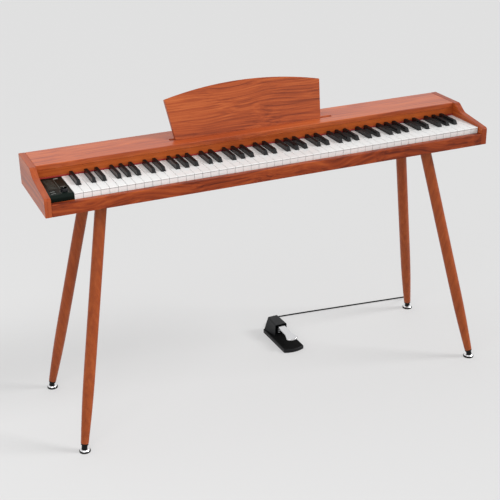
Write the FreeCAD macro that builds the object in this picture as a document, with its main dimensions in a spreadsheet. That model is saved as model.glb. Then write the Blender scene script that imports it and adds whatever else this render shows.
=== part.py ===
"""A slim digital piano on four splayed wooden legs, with its sustain pedal.

Frame: X to the player's right, Y away from the player, Z up. The origin is on the
floor, midway between the ends of the case and midway between the front of the front
feet and the back of the pedal. All lengths are in millimetres, angles in degrees.
"""
import FreeCAD, Part
import math
import os
import Sketcher

FOLDER = "parts"

DRIVING = {
    # The case: its width and height, how high it stands, and the room behind the keys.
    "case_width": 1325,
    "case_height": 88,
    "case_bottom": 688,
    "rear_room": 43,
    "origin_depth": 159.5,
    # The cheeks: a high back, a steep drop and a long gentle fall to a blunt nose.
    "cheek_thick": 18,
    "nose_height": 50.5,
    "nose_round": 8,
    "knee_depth": 117,
    "knee_height": 66.5,
    "knee_round": 35,
    "shoulder_depth": 147,
    "shoulder_round": 16,
    # The boards between the cheeks.
    "lid_thick": 15,
    "bottom_thick": 12,
    "back_thick": 15,
    "fallboard_depth": 155,
    "fallboard_thick": 15,
    "fallboard_lift": 53,
    "slip_thick": 18,
    "slip_height": 33,
    "slip_round": 2.5,
    # The music desk and the slanted slot that it stands in.
    "desk_offset": -11,
    "desk_depth": 197,
    "desk_tilt": 20,
    "desk_thick": 12,
    "desk_base_width": 452,
    "desk_top_width": 481,
    "desk_side_height": 114,
    "desk_crown": 26.6,
    "desk_seat": 12,
    "desk_round": 3,
    "slot_length": 506,
    "slot_clear": 0.4,
    # The keys: heads, tails, and the levers behind the fallboard.
    "key_gap": 1.0,
    "key_front": 19,
    "key_top": 49.2,
    "key_plate": 3,
    "key_lip": 1.2,
    "skirt_height": 20,
    "head_length": 50,
    "tail_rise": 6,
    "tail_end": 156,
    "key_round": 0.8,
    "black_width": 11,
    "black_clear": 1.1,
    "black_rise": 12,
    "black_top_width": 9.2,
    "black_slope": 7,
    "black_cap_end": 153.2,
    "black_tail_rise": 7.8,
    "black_head_length": 26,
    "black_round": 1.2,
    "shift_in_two": 2.35,
    "shift_in_three": 3.36,
    "lever_inset": 1.5,
    "lever_top": 46,
    "lever_overhang": 5.5,
    "black_lever_width": 8,
    "pivot_depth": 212,
    "pivot_lift": 40.5,
    "pivot_radius": 2.5,
    "running_clear": 0.05,
    # The pressed-steel key chassis, its felts and the rubber contacts.
    "sheet_thick": 2,
    "comb_thick": 1.2,
    "comb_front": 165,
    "comb_overhang": 10,
    "chassis_front": 24,
    "chassis_inset": 0.3,
    "stop_rail_front": 172,
    "stop_rail_width": 12,
    "stop_felt": 2,
    "felt_clear": 0.3,
    "white_stop_front": 28,
    "white_stop_width": 14,
    "black_stop_front": 78,
    "black_stop_width": 12,
    "stop_rail_rise": 3,
    "stop_felt_top": 19.3,
    "board_rail_front": 104,
    "board_rail_width": 6,
    "board_rail_rise": 10,
    "contact_front": 100,
    "contact_width": 48,
    "circuit_thick": 1.6,
    "rubber_base": 0.8,
    "rubber_width": 18,
    "dome_depth": 120,
    "dome_radius": 4,
    "dome_top_radius": 2.5,
    "dome_height": 3.4,
    "name_felt_front": 153.5,
    "name_felt_width": 5,
    # The control panel at the left of the keys.
    "panel_width": 65.5,
    "panel_gap": 0.5,
    "panel_wall": 2.5,
    "panel_back": 158,
    "panel_round": 9,
    "window_left": 9.5,
    "window_width": 29,
    "window_front": 66,
    "window_length": 80,
    "window_thick": 0.8,
    "knob_left": 45.5,
    "knob_depth": 43,
    "knob_radius": 9,
    "knob_height": 9,
    "knob_gap": 0.5,
    "knob_round": 1.2,
    "knob_mark_width": 1,
    "knob_mark_depth": 0.5,
    "shaft_radius": 3,
    "shaft_length": 12,
    "button_rise": 1.4,
    "button_clear": 0.3,
    "button_rim": 1.2,
    "button_rim_thick": 1.2,
    "bar_left": 9.5,
    "bar_width": 14.5,
    "bar_length": 6,
    "bar_front": 38.5,
    "bar_spacing": 14,
    "power_left": 43.5,
    "power_width": 14,
    "power_length": 7,
    "power_front": 72,
    # Electronics and sound.
    "main_board_length": 260,
    "main_board_clear": 7,
    "main_board_width": 32,
    "post_height": 5,
    "post_radius": 3,
    "chip_size": 14,
    "chip_height": 2.5,
    "speaker_inset": 342.5,
    "speaker_clear": 3,
    "speaker_length": 110,
    "speaker_width": 32,
    "speaker_flange": 2,
    "basket_height": 18,
    "magnet_radius": 12,
    "magnet_height": 9,
    "grille_length": 118,
    "grille_width": 34,
    "grille_thick": 1.5,
    "grille_slot": 3,
    "grille_pitch": 8,
    "port_length": 98,
    "port_width": 22,
    # The socket plate under the case.
    "socket_plate_inset": 266.5,
    "socket_plate_length": 60,
    "socket_plate_clear": 2,
    "socket_plate_width": 30,
    "socket_pitch": 18,
    "socket_outer": 7,
    "jack_bore": 3.25,
    "jack_depth": 33,
    "power_bore": 2.8,
    "power_depth": 14,
    "socket_cap": 2,
    # The jack plug on the pedal's cord.
    "plug_grip_radius": 6.2,
    "plug_grip_length": 34,
    "plug_shaft_radius": 3.175,
    "plug_shaft_length": 30,
    "plug_round": 1.5,
    # The splayed legs, their plates, necks and levelling discs.
    "leg_side_inset": 167.5,
    "leg_side_splay": 137,
    "leg_edge_inset": 72,
    "leg_edge_splay": 120,
    "leg_top_radius": 16,
    "leg_end_radius": 10.5,
    "ankle_height": 25,
    "leg_overrun": 10,
    "leg_plate_size": 84,
    "leg_plate_thick": 2.5,
    "leg_stud_radius": 4,
    "leg_stud_length": 40,
    "neck_radius": 8.2,
    "ferrule_height": 5,
    "neck_clear": 0.3,
    "disc_radius": 16,
    "disc_rim": 3,
    "disc_height": 8,
    "disc_top_radius": 11,
    "disc_round": 1.5,
    # Screws.
    "screw_radius": 2,
    "screw_length": 9,
    "screw_head_radius": 3.8,
    "screw_head_height": 1.6,
    "leg_screw_spacing": 64,
    "board_screw_side_inset": 262.5,
    "board_screw_front": 30,
    "board_screw_inset": 9,
    # The sustain pedal, drawn straight and then turned a little on the floor.
    "pedal_centre": 136.8,
    "pedal_back": 372,
    "pedal_yaw": 1.6,
    "pedal_length": 163.5,
    "pedal_width": 70,
    "pedal_nose": 8,
    "pedal_base_height": 12,
    "pedal_base_round": 3,
    "cover_inset": 1,
    "cover_length": 61,
    "cover_height": 54,
    "cover_front_height": 53,
    "cover_foot_width": 63,
    "cover_front_foot_width": 44,
    "cover_crown_width": 38,
    "cover_front_crown_width": 42,
    "cover_corner": 6,
    "cover_wall": 2.5,
    "treadle_width": 24,
    "treadle_front_width": 40.5,
    "treadle_reach": 133,
    "treadle_nose": 9,
    "treadle_corner": 8,
    "treadle_flare": 30,
    "treadle_back": 2,
    "treadle_rise": 4.7,
    "treadle_thick": 4.5,
    "treadle_round": 1.6,
    "treadle_tilt": 3.5,
    "pedal_pivot_inset": 20,
    "pedal_pivot_height": 41,
    "pedal_pin_radius": 2.5,
    "pedal_boss_radius": 5,
    "pedal_ear_thick": 3,
    "pedal_ear_gap": 0.4,
    "spring_inset": 47,
    "spring_radius": 6,
    "spring_wire": 1.5,
    "spring_clear": 0.3,
    "sleeve_radius": 4.2,
    "sleeve_length": 8,
    "sleeve_height": 12,
    # The cord and the clips that hold it to the leg.
    "cord_radius": 2.25,
    "clip_length": 12,
    "clip_wall": 2,
    "clip_clear": 0.1,
    # One overrun serves all cuts.
    "overrun": 5,
}

# The pedal's cord, by hand: how far it runs straight out of its sleeve, then points set
# off from the back of the pedal, from the right back foot, from that leg's line at a
# height, and from the plug's end.
CORD_START_RUN = 22
CORD_FROM_PEDAL = [(8.2, 55, 3), (35.2, 73, 2.6), (68.2, 75.2, 2.6)]
CORD_FROM_FOOT = [(16, 66.6, 2.6), (25.5, 53, 9)]
CORD_FROM_LEG = [(3.818, 12.837, 47.8), (5.389, 18.022, 585.5)]
CORD_FROM_PLUG = [(48, 6, -45.7), (15, 2.5, -43.7), (0, 0, -23.7), (0, 0, 0)]
CORD_ARC_SHARE = 0.45
CLIP_HEIGHT_SHARES = (0.12, 0.5, 0.9)

WHITE_COUNT = 52
WHITE_LETTERS = "ABCDEFG"
SHARPED_LETTERS = "ACDFG"
TOUCH = 1e-4
SCREWS_FROM_MIDDLE = 2
CHIP_COUNT = 4
FIRST_SINGLE = 23
LAST_SINGLE = 30
COMB_EVERY = 7
FIRST_COMB = 2

doc = FreeCAD.newDocument("digital_piano")


class Size:
    """A length or angle: its value, and the expression over the sheet that gives it."""

    def __init__(self, value, text):
        self.value = value
        self.text = text

    @staticmethod
    def of(other):
        return other if isinstance(other, Size) else Size(other, repr(other))

    @staticmethod
    def join(left, sign, right, value):
        return Size(value, f"({left.text} {sign} {right.text})")

    def __add__(self, other):
        other = Size.of(other)
        return Size.join(self, "+", other, self.value + other.value)

    def __radd__(self, other):
        return Size.of(other) + self

    def __sub__(self, other):
        other = Size.of(other)
        return Size.join(self, "-", other, self.value - other.value)

    def __rsub__(self, other):
        return Size.of(other) - self

    def __mul__(self, other):
        other = Size.of(other)
        return Size.join(self, "*", other, self.value * other.value)

    def __rmul__(self, other):
        return Size.of(other) * self

    def __truediv__(self, other):
        other = Size.of(other)
        return Size.join(self, "/", other, self.value / other.value)

    def __neg__(self):
        return Size.of(0) - self


def sine(angle):
    return Size(math.sin(math.radians(angle.value)), f"sin({angle.text})")


def cosine(angle):
    return Size(math.cos(math.radians(angle.value)), f"cos({angle.text})")


def arc_tangent(ratio):
    return Size(math.degrees(math.atan(ratio.value)), f"atan({ratio.text})")


def root(square):
    return Size(math.sqrt(square.value), f"sqrt({square.text})")


def make_sheet():
    """The sheet of driving dimensions, and each of them as a Size."""
    sheet = doc.addObject("Spreadsheet::Sheet", "sizes")
    for row, (name, value) in enumerate(DRIVING.items(), 1):
        cell = f"A{row}"
        sheet.set(cell, str(value))
        sheet.setAlias(cell, name)
    doc.recompute()
    return {name: Size(sheet.get(name), f"sizes.{name}") for name in DRIVING}


class Named:
    """The driving dimensions by name."""

    def __init__(self, sizes):
        self.__dict__.update(sizes)


s = Named(make_sheet())


def bind(item, **sizes):
    """Tie each property to its size."""
    for name, size in sizes.items():
        item.setExpression(name, Size.of(size).text)
    return item


def place(item, x=0, y=0, z=0, axis=None, angle=None):
    """Put the item at a point, turned about an axis if one is given."""
    point = f"vector({Size.of(x).text}; {Size.of(y).text}; {Size.of(z).text})"
    turn = "rotation(vector(0; 0; 1); 0)"
    if axis is not None:
        ax, ay, az = (Size.of(part).text for part in axis)
        turn = f"rotation(vector({ax}; {ay}; {az}); {Size.of(angle).text})"
    item.setExpression("Placement", f"placement({point}; {turn})")
    return item


def box(name, x, y, z, length, width, height, axis=None, angle=None):
    item = doc.addObject("Part::Box", name)
    bind(item, Length=length, Width=width, Height=height)
    return place(item, x, y, z, axis, angle)


def cylinder(name, x, y, z, radius, height, axis=None, angle=None):
    item = doc.addObject("Part::Cylinder", name)
    bind(item, Radius=radius, Height=height)
    return place(item, x, y, z, axis, angle)


def cone(name, x, y, z, radius1, radius2, height, axis=None, angle=None):
    item = doc.addObject("Part::Cone", name)
    bind(item, Radius1=radius1, Radius2=radius2, Height=height)
    return place(item, x, y, z, axis, angle)


def fuse(name, items):
    item = doc.addObject("Part::MultiFuse", name)
    item.Shapes = items
    item.Refine = True
    return item


def cut(name, base, tools):
    """The base less its tools, which may be one or many."""
    tool = tools[0] if len(tools) == 1 else group(name + "_tools", tools)
    item = doc.addObject("Part::Cut", name)
    item.Base = base
    item.Tool = tool
    item.Refine = True
    return item


def group(name, items):
    item = doc.addObject("Part::Compound", name)
    item.Links = items
    return item


def rounded(name, base, radius, pick):
    """The base with the picked edges rounded."""
    doc.recompute()
    item = doc.addObject("Part::Fillet", name)
    item.Base = base
    edges = [number for number, edge in enumerate(base.Shape.Edges, 1) if pick(edge)]
    item.Edges = [(number, radius.value, radius.value) for number in edges]
    return item


def runs_along(edge, axis):
    """Whether a straight edge runs along X, Y or Z."""
    if not isinstance(edge.Curve, Part.Line):
        return False
    along = edge.tangentAt(edge.FirstParameter)
    return abs(abs(getattr(along, axis)) - 1) < TOUCH


def near(value, size):
    """Whether a coordinate is the size's own, within rounding."""
    return abs(value - Size.of(size).value) < TOUCH


def sketch_outline(body, name, role, corners, arcs=None, lift=None):
    """A closed outline on one of the body's own planes, or lifted off it.

    corners are pairs of sizes; arcs maps a side's number to the radius that it
    bulges with, to the right of the side as it is walked.
    """
    arcs = arcs or {}
    sketch = body.newObject("Sketcher::SketchObject", name)
    planes = body.Origin.OriginFeatures
    sketch.AttachmentSupport = [(next(p for p in planes if p.Role == role), "")]
    sketch.MapMode = "FlatFace"
    if lift is not None:
        sketch.setExpression("AttachmentOffset.Base.z", lift.text)
    points = [FreeCAD.Vector(Size.of(a).value, Size.of(b).value, 0) for a, b in corners]
    for number, start in enumerate(points):
        end = points[(number + 1) % len(points)]
        if number in arcs:
            half = (end - start) * 0.5
            radius = arcs[number].value
            rise = radius - math.sqrt(radius ** 2 - half.Length ** 2)
            outward = FreeCAD.Vector(half.y, -half.x, 0).normalize()
            sketch.addGeometry(Part.Arc(start, start + half + outward * rise, end))
        else:
            sketch.addGeometry(Part.LineSegment(start, end))

    def end_at(side, point):
        return 1 if (sketch.getPoint(side, 1) - point).Length < TOUCH else 2

    for number, point in enumerate(points):
        before = (number - 1) % len(points)
        here = end_at(number, point)
        there = end_at(before, point)
        sketch.addConstraint(Sketcher.Constraint("Coincident", before, there, number, here))
        for kind, size in zip(("DistanceX", "DistanceY"), corners[number]):
            size = Size.of(size)
            rule = Sketcher.Constraint(kind, -1, 1, number, here, float(size.value))
            index = sketch.addConstraint(rule)
            sketch.setExpression(f"Constraints[{index}]", size.text)
    for number, radius in arcs.items():
        index = sketch.addConstraint(Sketcher.Constraint("Radius", number, radius.value))
        sketch.setExpression(f"Constraints[{index}]", radius.text)
    return sketch


def padded_body(name, role, corners, length, arcs=None, reverse=False):
    """A body that is one padded outline."""
    body = doc.addObject("PartDesign::Body", name)
    sketch = sketch_outline(body, name + "_outline", role, corners, arcs)
    pad = body.newObject("PartDesign::Pad", name + "_pad")
    pad.Profile = sketch
    pad.Reversed = reverse
    bind(pad, Length=length)
    return body


def turned_body(name, corners, arcs=None):
    """A body turned about its own Z axis from a half outline."""
    body = doc.addObject("PartDesign::Body", name)
    sketch = sketch_outline(body, name + "_outline", "XZ_Plane", corners, arcs)
    turn = body.newObject("PartDesign::Revolution", name + "_turn")
    turn.Profile = sketch
    turn.ReferenceAxis = (sketch, ["V_Axis"])
    turn.Angle = 360
    return body


def lofted_body(name, role, outlines, lifts, arcs):
    """A body between two outlines on parallel planes."""
    body = doc.addObject("PartDesign::Body", name)
    first, second = (
        sketch_outline(body, f"{name}_outline_{number}", role, corners, rounds, lift)
        for number, (corners, rounds, lift) in enumerate(zip(outlines, arcs, lifts), 1)
    )
    loft = body.newObject("PartDesign::AdditiveLoft", name + "_loft")
    loft.Profile = first
    loft.Sections = [second]
    loft.Ruled = True
    return body


def link(name, master, x=0, y=0, z=0, axis=None, angle=None):
    """A placed copy of a master piece."""
    item = doc.addObject("App::Link", name)
    item.LinkedObject = master
    return place(item, x, y, z, axis, angle)


# Places that many pieces share.
def from_front(depth):
    """Y of a place that lies so far behind the front of the case."""
    return depth - s.origin_depth


def from_bottom(height):
    """Z of a place that lies so far above the underside of the case."""
    return s.case_bottom + height


INNER_WIDTH = s.case_width - s.cheek_thick * 2
INNER_LEFT = -INNER_WIDTH / 2
COMB_BACK = s.pivot_depth + s.comb_overhang
BACK_INNER = COMB_BACK + s.rear_room
CASE_DEPTH = BACK_INNER + s.back_thick
BOTTOM_TOP = from_bottom(s.bottom_thick)
LID_BOTTOM = s.case_height - s.lid_thick
PANEL_LEFT = INNER_LEFT
KEY_LEFT = PANEL_LEFT + s.panel_width + s.panel_gap
KEY_PITCH = (-INNER_LEFT - s.key_gap - KEY_LEFT) / WHITE_COUNT
KEY_BOTTOM = s.key_top - s.skirt_height
LEVER_END = s.pivot_depth + s.lever_overhang
SPEAKER_OFFSET = s.case_width / 2 - s.speaker_inset
SPEAKER_DEPTH = BACK_INNER - s.speaker_clear - s.speaker_width / 2
SOCKET_PLATE_LEFT = s.case_width / 2 - s.socket_plate_inset
SOCKET_PLATE_FRONT = COMB_BACK + s.socket_plate_clear
QUARTER_TURN = Size(90, "90 deg")
HALF_TURN = Size(180, "180 deg")


# The case
def make_cheek(name, x):
    corners = [
        (0, 0),
        (CASE_DEPTH, 0),
        (CASE_DEPTH, s.case_height),
        (s.shoulder_depth, s.case_height),
        (s.knee_depth, s.knee_height),
        (0, s.nose_height),
    ]
    body = padded_body(name + "_board", "YZ_Plane", corners, s.cheek_thick)
    place(body, x, from_front(0), s.case_bottom)
    doc.recompute()

    def picker(depth, height):
        def pick(edge):
            middle = edge.CenterOfMass
            at_depth = near(middle.y, from_front(depth))
            return runs_along(edge, "x") and at_depth and near(middle.z, from_bottom(height))
        return pick

    shaped = rounded(name + "_nose", body, s.nose_round, picker(0, s.nose_height))
    at_knee = picker(s.knee_depth, s.knee_height)
    shaped = rounded(name + "_knee", shaped, s.knee_round, at_knee)
    at_shoulder = picker(s.shoulder_depth, s.case_height)
    return rounded(name, shaped, s.shoulder_round, at_shoulder)


def make_lid():
    board = box("lid_board", INNER_LEFT, from_front(s.fallboard_depth), from_bottom(LID_BOTTOM),
                INNER_WIDTH, CASE_DEPTH - s.fallboard_depth, s.lid_thick)
    across = s.desk_thick + s.slot_clear * 2
    deep = s.desk_seat + s.slot_clear
    y = from_front(s.desk_depth) - s.slot_clear * cosine(s.desk_tilt) - deep * sine(s.desk_tilt)
    z = from_bottom(s.case_height) + s.slot_clear * sine(s.desk_tilt) - deep * cosine(s.desk_tilt)
    slot = box("desk_slot", -s.slot_length / 2, y, z, s.slot_length, across,
               deep + s.overrun * 2, (1, 0, 0), -s.desk_tilt)
    return cut("top_lid", board, [slot])


def make_fallboard():
    return box("fallboard", INNER_LEFT, from_front(s.fallboard_depth),
               from_bottom(s.fallboard_lift), INNER_WIDTH, s.fallboard_thick,
               LID_BOTTOM - s.fallboard_lift)


def make_key_slip():
    rail = box("slip_rail", INNER_LEFT, from_front(0), s.case_bottom, INNER_WIDTH,
               s.slip_thick, s.slip_height)

    def pick(edge):
        return runs_along(edge, "x") and near(edge.CenterOfMass.z, from_bottom(s.slip_height))

    return rounded("key_slip", rail, s.slip_round, pick)


def stadium(name, x, y, z, length, width, height):
    """A flat piece with straight sides and round ends, centred on x and y."""
    radius = width / 2
    straight = length - width
    parts = [
        box(name + "_middle", x - straight / 2, y - radius, z, straight, width, height),
        cylinder(name + "_left", x - straight / 2, y, z, radius, height),
        cylinder(name + "_right", x + straight / 2, y, z, radius, height),
    ]
    return fuse(name, parts)


def make_bottom_board(screws):
    board = box("bottom_blank", INNER_LEFT, from_front(s.slip_thick), s.case_bottom, INNER_WIDTH,
                BACK_INNER - s.slip_thick, s.bottom_thick)
    below = s.case_bottom - s.overrun
    through = s.bottom_thick + s.overrun * 2
    ports = [
        stadium(f"port_{side}", way * SPEAKER_OFFSET, from_front(SPEAKER_DEPTH), below,
                s.port_length, s.port_width, through)
        for side, way in (("left", -1), ("right", 1))
    ]
    hatch = box("socket_hatch", SOCKET_PLATE_LEFT, from_front(SOCKET_PLATE_FRONT), below,
                s.socket_plate_length, s.socket_plate_width, through)
    return cut("bottom_board", board, ports + [hatch, screws])


def make_back_panel():
    return box("back_panel", INNER_LEFT, from_front(BACK_INNER), s.case_bottom, INNER_WIDTH,
               s.back_thick, LID_BOTTOM)


# The music desk
def make_music_desk():
    slope = (s.desk_top_width - s.desk_base_width) / 2 / s.desk_side_height
    seat_half = s.desk_base_width / 2 - slope * s.desk_seat
    top_half = s.desk_top_width / 2
    radius = (top_half * top_half + s.desk_crown * s.desk_crown) / (s.desk_crown * 2)
    corners = [
        (-seat_half, -s.desk_seat),
        (seat_half, -s.desk_seat),
        (top_half, s.desk_side_height),
        (-top_half, s.desk_side_height),
    ]
    body = padded_body("desk_panel", "XZ_Plane", corners, s.desk_thick, {2: radius}, True)
    place(body, s.desk_offset, from_front(s.desk_depth), from_bottom(s.case_height),
          (1, 0, 0), -s.desk_tilt)
    doc.recompute()
    ends = [body.Shape.BoundBox.XMin, body.Shape.BoundBox.XMax]

    def pick(edge):
        middle = edge.CenterOfMass
        across = isinstance(edge.Curve, Part.Line) and near(edge.Length, s.desk_thick)
        return across and min(abs(middle.x - end) for end in ends) < s.desk_round.value
    return rounded("music_desk", body, s.desk_round, pick)


# The keys
def black_edge(shift):
    """How far a black key's side and its clearance reach from the line between keys."""
    return s.black_width / 2 + s.black_clear + shift


def shift_after(letter):
    """Sideways shift of the black key that follows a white key, or None if none does."""
    shifts = {
        "C": -s.shift_in_two,
        "D": s.shift_in_two,
        "F": -s.shift_in_three,
        "G": Size.of(0),
        "A": s.shift_in_three,
    }
    return shifts.get(letter)


def pivot_hole(name, x, width):
    """The hole that a key turns on, along X."""
    return cylinder(name, x - s.overrun, from_front(s.pivot_depth), from_bottom(s.pivot_lift),
                    s.pivot_radius + s.running_clear, width + s.overrun * 2, (0, 1, 0), QUARTER_TURN)


def make_white_master(name, left_shift, right_shift):
    """One white key with its left edge line at X 0; each shift is the black key's there."""
    half_gap = s.key_gap / 2
    left = half_gap if left_shift is None else black_edge(left_shift)
    right = KEY_PITCH - (half_gap if right_shift is None else black_edge(-right_shift))
    width = right - left
    head_width = KEY_PITCH - s.key_gap
    tail_front = s.key_front + s.head_length
    overlap = s.key_plate
    parts = [
        box(name + "_top", half_gap, from_front(s.key_front), from_bottom(s.key_top - s.key_plate),
            head_width, s.head_length, s.key_plate),
        box(name + "_skirt", half_gap, from_front(s.key_front + s.key_lip), from_bottom(KEY_BOTTOM),
            head_width, s.head_length - s.key_lip, s.skirt_height - s.key_plate),
        box(name + "_tail", left, from_front(tail_front - overlap),
            from_bottom(KEY_BOTTOM + s.tail_rise), width, s.tail_end - tail_front + overlap,
            s.skirt_height - s.tail_rise),
        box(name + "_lever", left + s.lever_inset, from_front(s.tail_end - overlap),
            from_bottom(KEY_BOTTOM + s.tail_rise), width - s.lever_inset * 2,
            LEVER_END - s.tail_end + overlap, s.lever_top - KEY_BOTTOM - s.tail_rise),
    ]
    whole = fuse(name + "_whole", parts)
    bored = cut(name + "_bored", whole, [pivot_hole(name + "_hole", left, width)])
    top = from_bottom(s.key_top)

    def pick(edge):
        box_of = edge.BoundBox
        return near(box_of.ZMin, top) and box_of.YMin < from_front(s.tail_end).value - TOUCH

    return rounded(name, bored, s.key_round, pick)


def make_black_master(name):
    """One black key, centred on X 0."""
    half = s.black_width / 2
    half_top = s.black_top_width / 2
    front = from_front(s.key_front + s.head_length + s.black_clear)
    back = from_front(s.black_cap_end)
    cap = doc.addObject("Part::Wedge", name + "_cap")
    bind(cap, Xmin=-half, Xmax=half, X2min=-half_top, X2max=half_top, Ymin=0,
         Ymax=s.black_rise, Zmin=-back, Zmax=-front, Z2min=-back, Z2max=-(front + s.black_slope))
    place(cap, 0, 0, from_bottom(s.key_top), (1, 0, 0), QUARTER_TURN)
    lever_half = s.black_lever_width / 2
    parts = [
        cap,
        box(name + "_head", -half, front, from_bottom(KEY_BOTTOM), s.black_width,
            s.black_head_length, s.skirt_height),
        box(name + "_tail", -half, front, from_bottom(KEY_BOTTOM + s.black_tail_rise),
            s.black_width, from_front(s.tail_end) - front, s.skirt_height - s.black_tail_rise),
        box(name + "_lever", -lever_half, from_front(s.tail_end - s.key_plate),
            from_bottom(KEY_BOTTOM + s.tail_rise), s.black_lever_width,
            LEVER_END - s.tail_end + s.key_plate, s.lever_top - KEY_BOTTOM - s.tail_rise),
    ]
    whole = fuse(name + "_whole", parts)
    bored = cut(name + "_bored", whole, [pivot_hole(name + "_hole", -half, s.black_width)])

    def pick(edge):
        return near(edge.BoundBox.ZMin, from_bottom(s.key_top + s.black_rise))

    return rounded(name, bored, s.black_round, pick)


def white_letter(index):
    return WHITE_LETTERS[index % len(WHITE_LETTERS)]


def key_name(index, sharp):
    """The note's usual name, such as c4 or c4_sharp, for a white key's number."""
    letter = white_letter(index).lower()
    octave = (index + len(WHITE_LETTERS) - FIRST_COMB) // len(WHITE_LETTERS)
    return f"key_{letter}{octave}_sharp" if sharp else f"key_{letter}{octave}"


def make_white_masters():
    """A master for each shape of white key, by the letters on its two sides."""
    masters = {}
    for index in range(WHITE_COUNT):
        letter = white_letter(index)
        before = white_letter(index - 1)
        left = shift_after(before) if index > 0 else None
        right = shift_after(letter) if index < WHITE_COUNT - 1 else None
        kind = (letter, left is None, right is None)
        if kind not in masters:
            name = f"white_{letter.lower()}" + ("_end" if index in (0, WHITE_COUNT - 1) else "")
            masters[kind] = make_white_master(name, left, right)
    return masters


def white_master_for(masters, index):
    left_plain = index == 0 or shift_after(white_letter(index - 1)) is None
    right_plain = index == WHITE_COUNT - 1 or shift_after(white_letter(index)) is None
    return masters[(white_letter(index), left_plain, right_plain)]


def make_keys():
    """Every key as a placed copy: the middle octave singly, the others in four groups."""
    masters = make_white_masters()
    black = make_black_master("black")
    groups = {"white_keys_low": [], "black_keys_low": [], "white_keys_high": [],
              "black_keys_high": []}
    singles = []
    for index in range(WHITE_COUNT):
        x = KEY_LEFT + KEY_PITCH * index
        name = key_name(index, False)
        piece = link(name + "_copy", white_master_for(masters, index), x)
        single = FIRST_SINGLE <= index <= LAST_SINGLE
        side = "low" if index < FIRST_SINGLE else "high"
        if single:
            singles.append(group(name, [piece]))
        else:
            groups[f"white_keys_{side}"].append(piece)
        letter = white_letter(index)
        if letter not in SHARPED_LETTERS or index == WHITE_COUNT - 1:
            continue
        name = key_name(index, True)
        piece = link(name + "_copy", black, x + KEY_PITCH + shift_after(letter))
        if single and index < LAST_SINGLE:
            singles.append(group(name, [piece]))
        else:
            groups[f"black_keys_{side}"].append(piece)
    return singles + [group(name, pieces) for name, pieces in groups.items()]


def dome_places():
    """X of each key's contact: the middle of its tail."""
    half_gap = s.key_gap / 2
    for index in range(WHITE_COUNT):
        left = shift_after(white_letter(index - 1)) if index > 0 else None
        right = shift_after(white_letter(index)) if index < WHITE_COUNT - 1 else None
        from_left = half_gap if left is None else black_edge(left)
        from_right = half_gap if right is None else black_edge(-right)
        x = KEY_LEFT + KEY_PITCH * index
        yield x + (KEY_PITCH + from_left - from_right) / 2
        if right is not None:
            yield x + KEY_PITCH + right


# Below the keys
def make_pivot_rod():
    return cylinder("pivot_rod", KEY_LEFT + s.chassis_inset, from_front(s.pivot_depth),
                    from_bottom(s.pivot_lift), s.pivot_radius,
                    KEY_PITCH * WHITE_COUNT - s.chassis_inset * 2, (0, 1, 0), QUARTER_TURN)


STOP_RAIL_BOTTOM = s.lever_top + s.felt_clear + s.stop_felt
CHASSIS_LENGTH = KEY_PITCH * WHITE_COUNT - s.chassis_inset * 2
CHASSIS_LEFT = KEY_LEFT + s.chassis_inset
CHASSIS_TOP = s.bottom_thick + s.sheet_thick
BOARD_RAIL_TOP = CHASSIS_TOP + s.board_rail_rise


def comb_lefts():
    """X of the left face of each comb plate, from the low end of the keys to the high."""
    plates = [CHASSIS_LEFT]
    for index in range(FIRST_COMB, WHITE_COUNT, COMB_EVERY):
        plates.append(KEY_LEFT + KEY_PITCH * index - s.comb_thick / 2)
    return plates + [CHASSIS_LEFT + CHASSIS_LENGTH - s.comb_thick]


def make_chassis():
    """Pressed-steel tray with rails, a comb of pivot plates and the upper stop rail."""
    rail_top = STOP_RAIL_BOTTOM + s.sheet_thick
    parts = [
        box("tray", CHASSIS_LEFT, from_front(s.chassis_front), BOTTOM_TOP, CHASSIS_LENGTH,
            COMB_BACK - s.chassis_front, s.sheet_thick),
        box("front_stop_rail", CHASSIS_LEFT, from_front(s.white_stop_front),
            from_bottom(CHASSIS_TOP), CHASSIS_LENGTH, s.white_stop_width, s.stop_rail_rise),
        box("second_stop_rail", CHASSIS_LEFT, from_front(s.black_stop_front),
            from_bottom(CHASSIS_TOP), CHASSIS_LENGTH, s.black_stop_width, s.stop_rail_rise),
        box("upper_stop_rail", CHASSIS_LEFT, from_front(s.stop_rail_front),
            from_bottom(STOP_RAIL_BOTTOM), CHASSIS_LENGTH, s.stop_rail_width, s.sheet_thick),
    ]
    back_rail = s.contact_front * 2 + s.contact_width - s.board_rail_front - s.board_rail_width
    for name, depth in (("front", s.board_rail_front), ("back", back_rail)):
        parts.append(box(f"board_rail_{name}", CHASSIS_LEFT, from_front(depth),
                         from_bottom(CHASSIS_TOP), CHASSIS_LENGTH, s.board_rail_width,
                         s.board_rail_rise))
    for number, x in enumerate(comb_lefts(), 1):
        parts.append(box(f"comb_plate_{number}", x, from_front(s.comb_front),
                         from_bottom(CHASSIS_TOP), s.comb_thick, COMB_BACK - s.comb_front,
                         rail_top - CHASSIS_TOP))
    whole = fuse("chassis_whole", parts)
    hole = cylinder("rod_hole", CHASSIS_LEFT - s.overrun, from_front(s.pivot_depth),
                    from_bottom(s.pivot_lift), s.pivot_radius + s.running_clear,
                    CHASSIS_LENGTH + s.overrun * 2, (0, 1, 0), QUARTER_TURN)
    return cut("key_chassis", whole, [hole])


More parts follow.
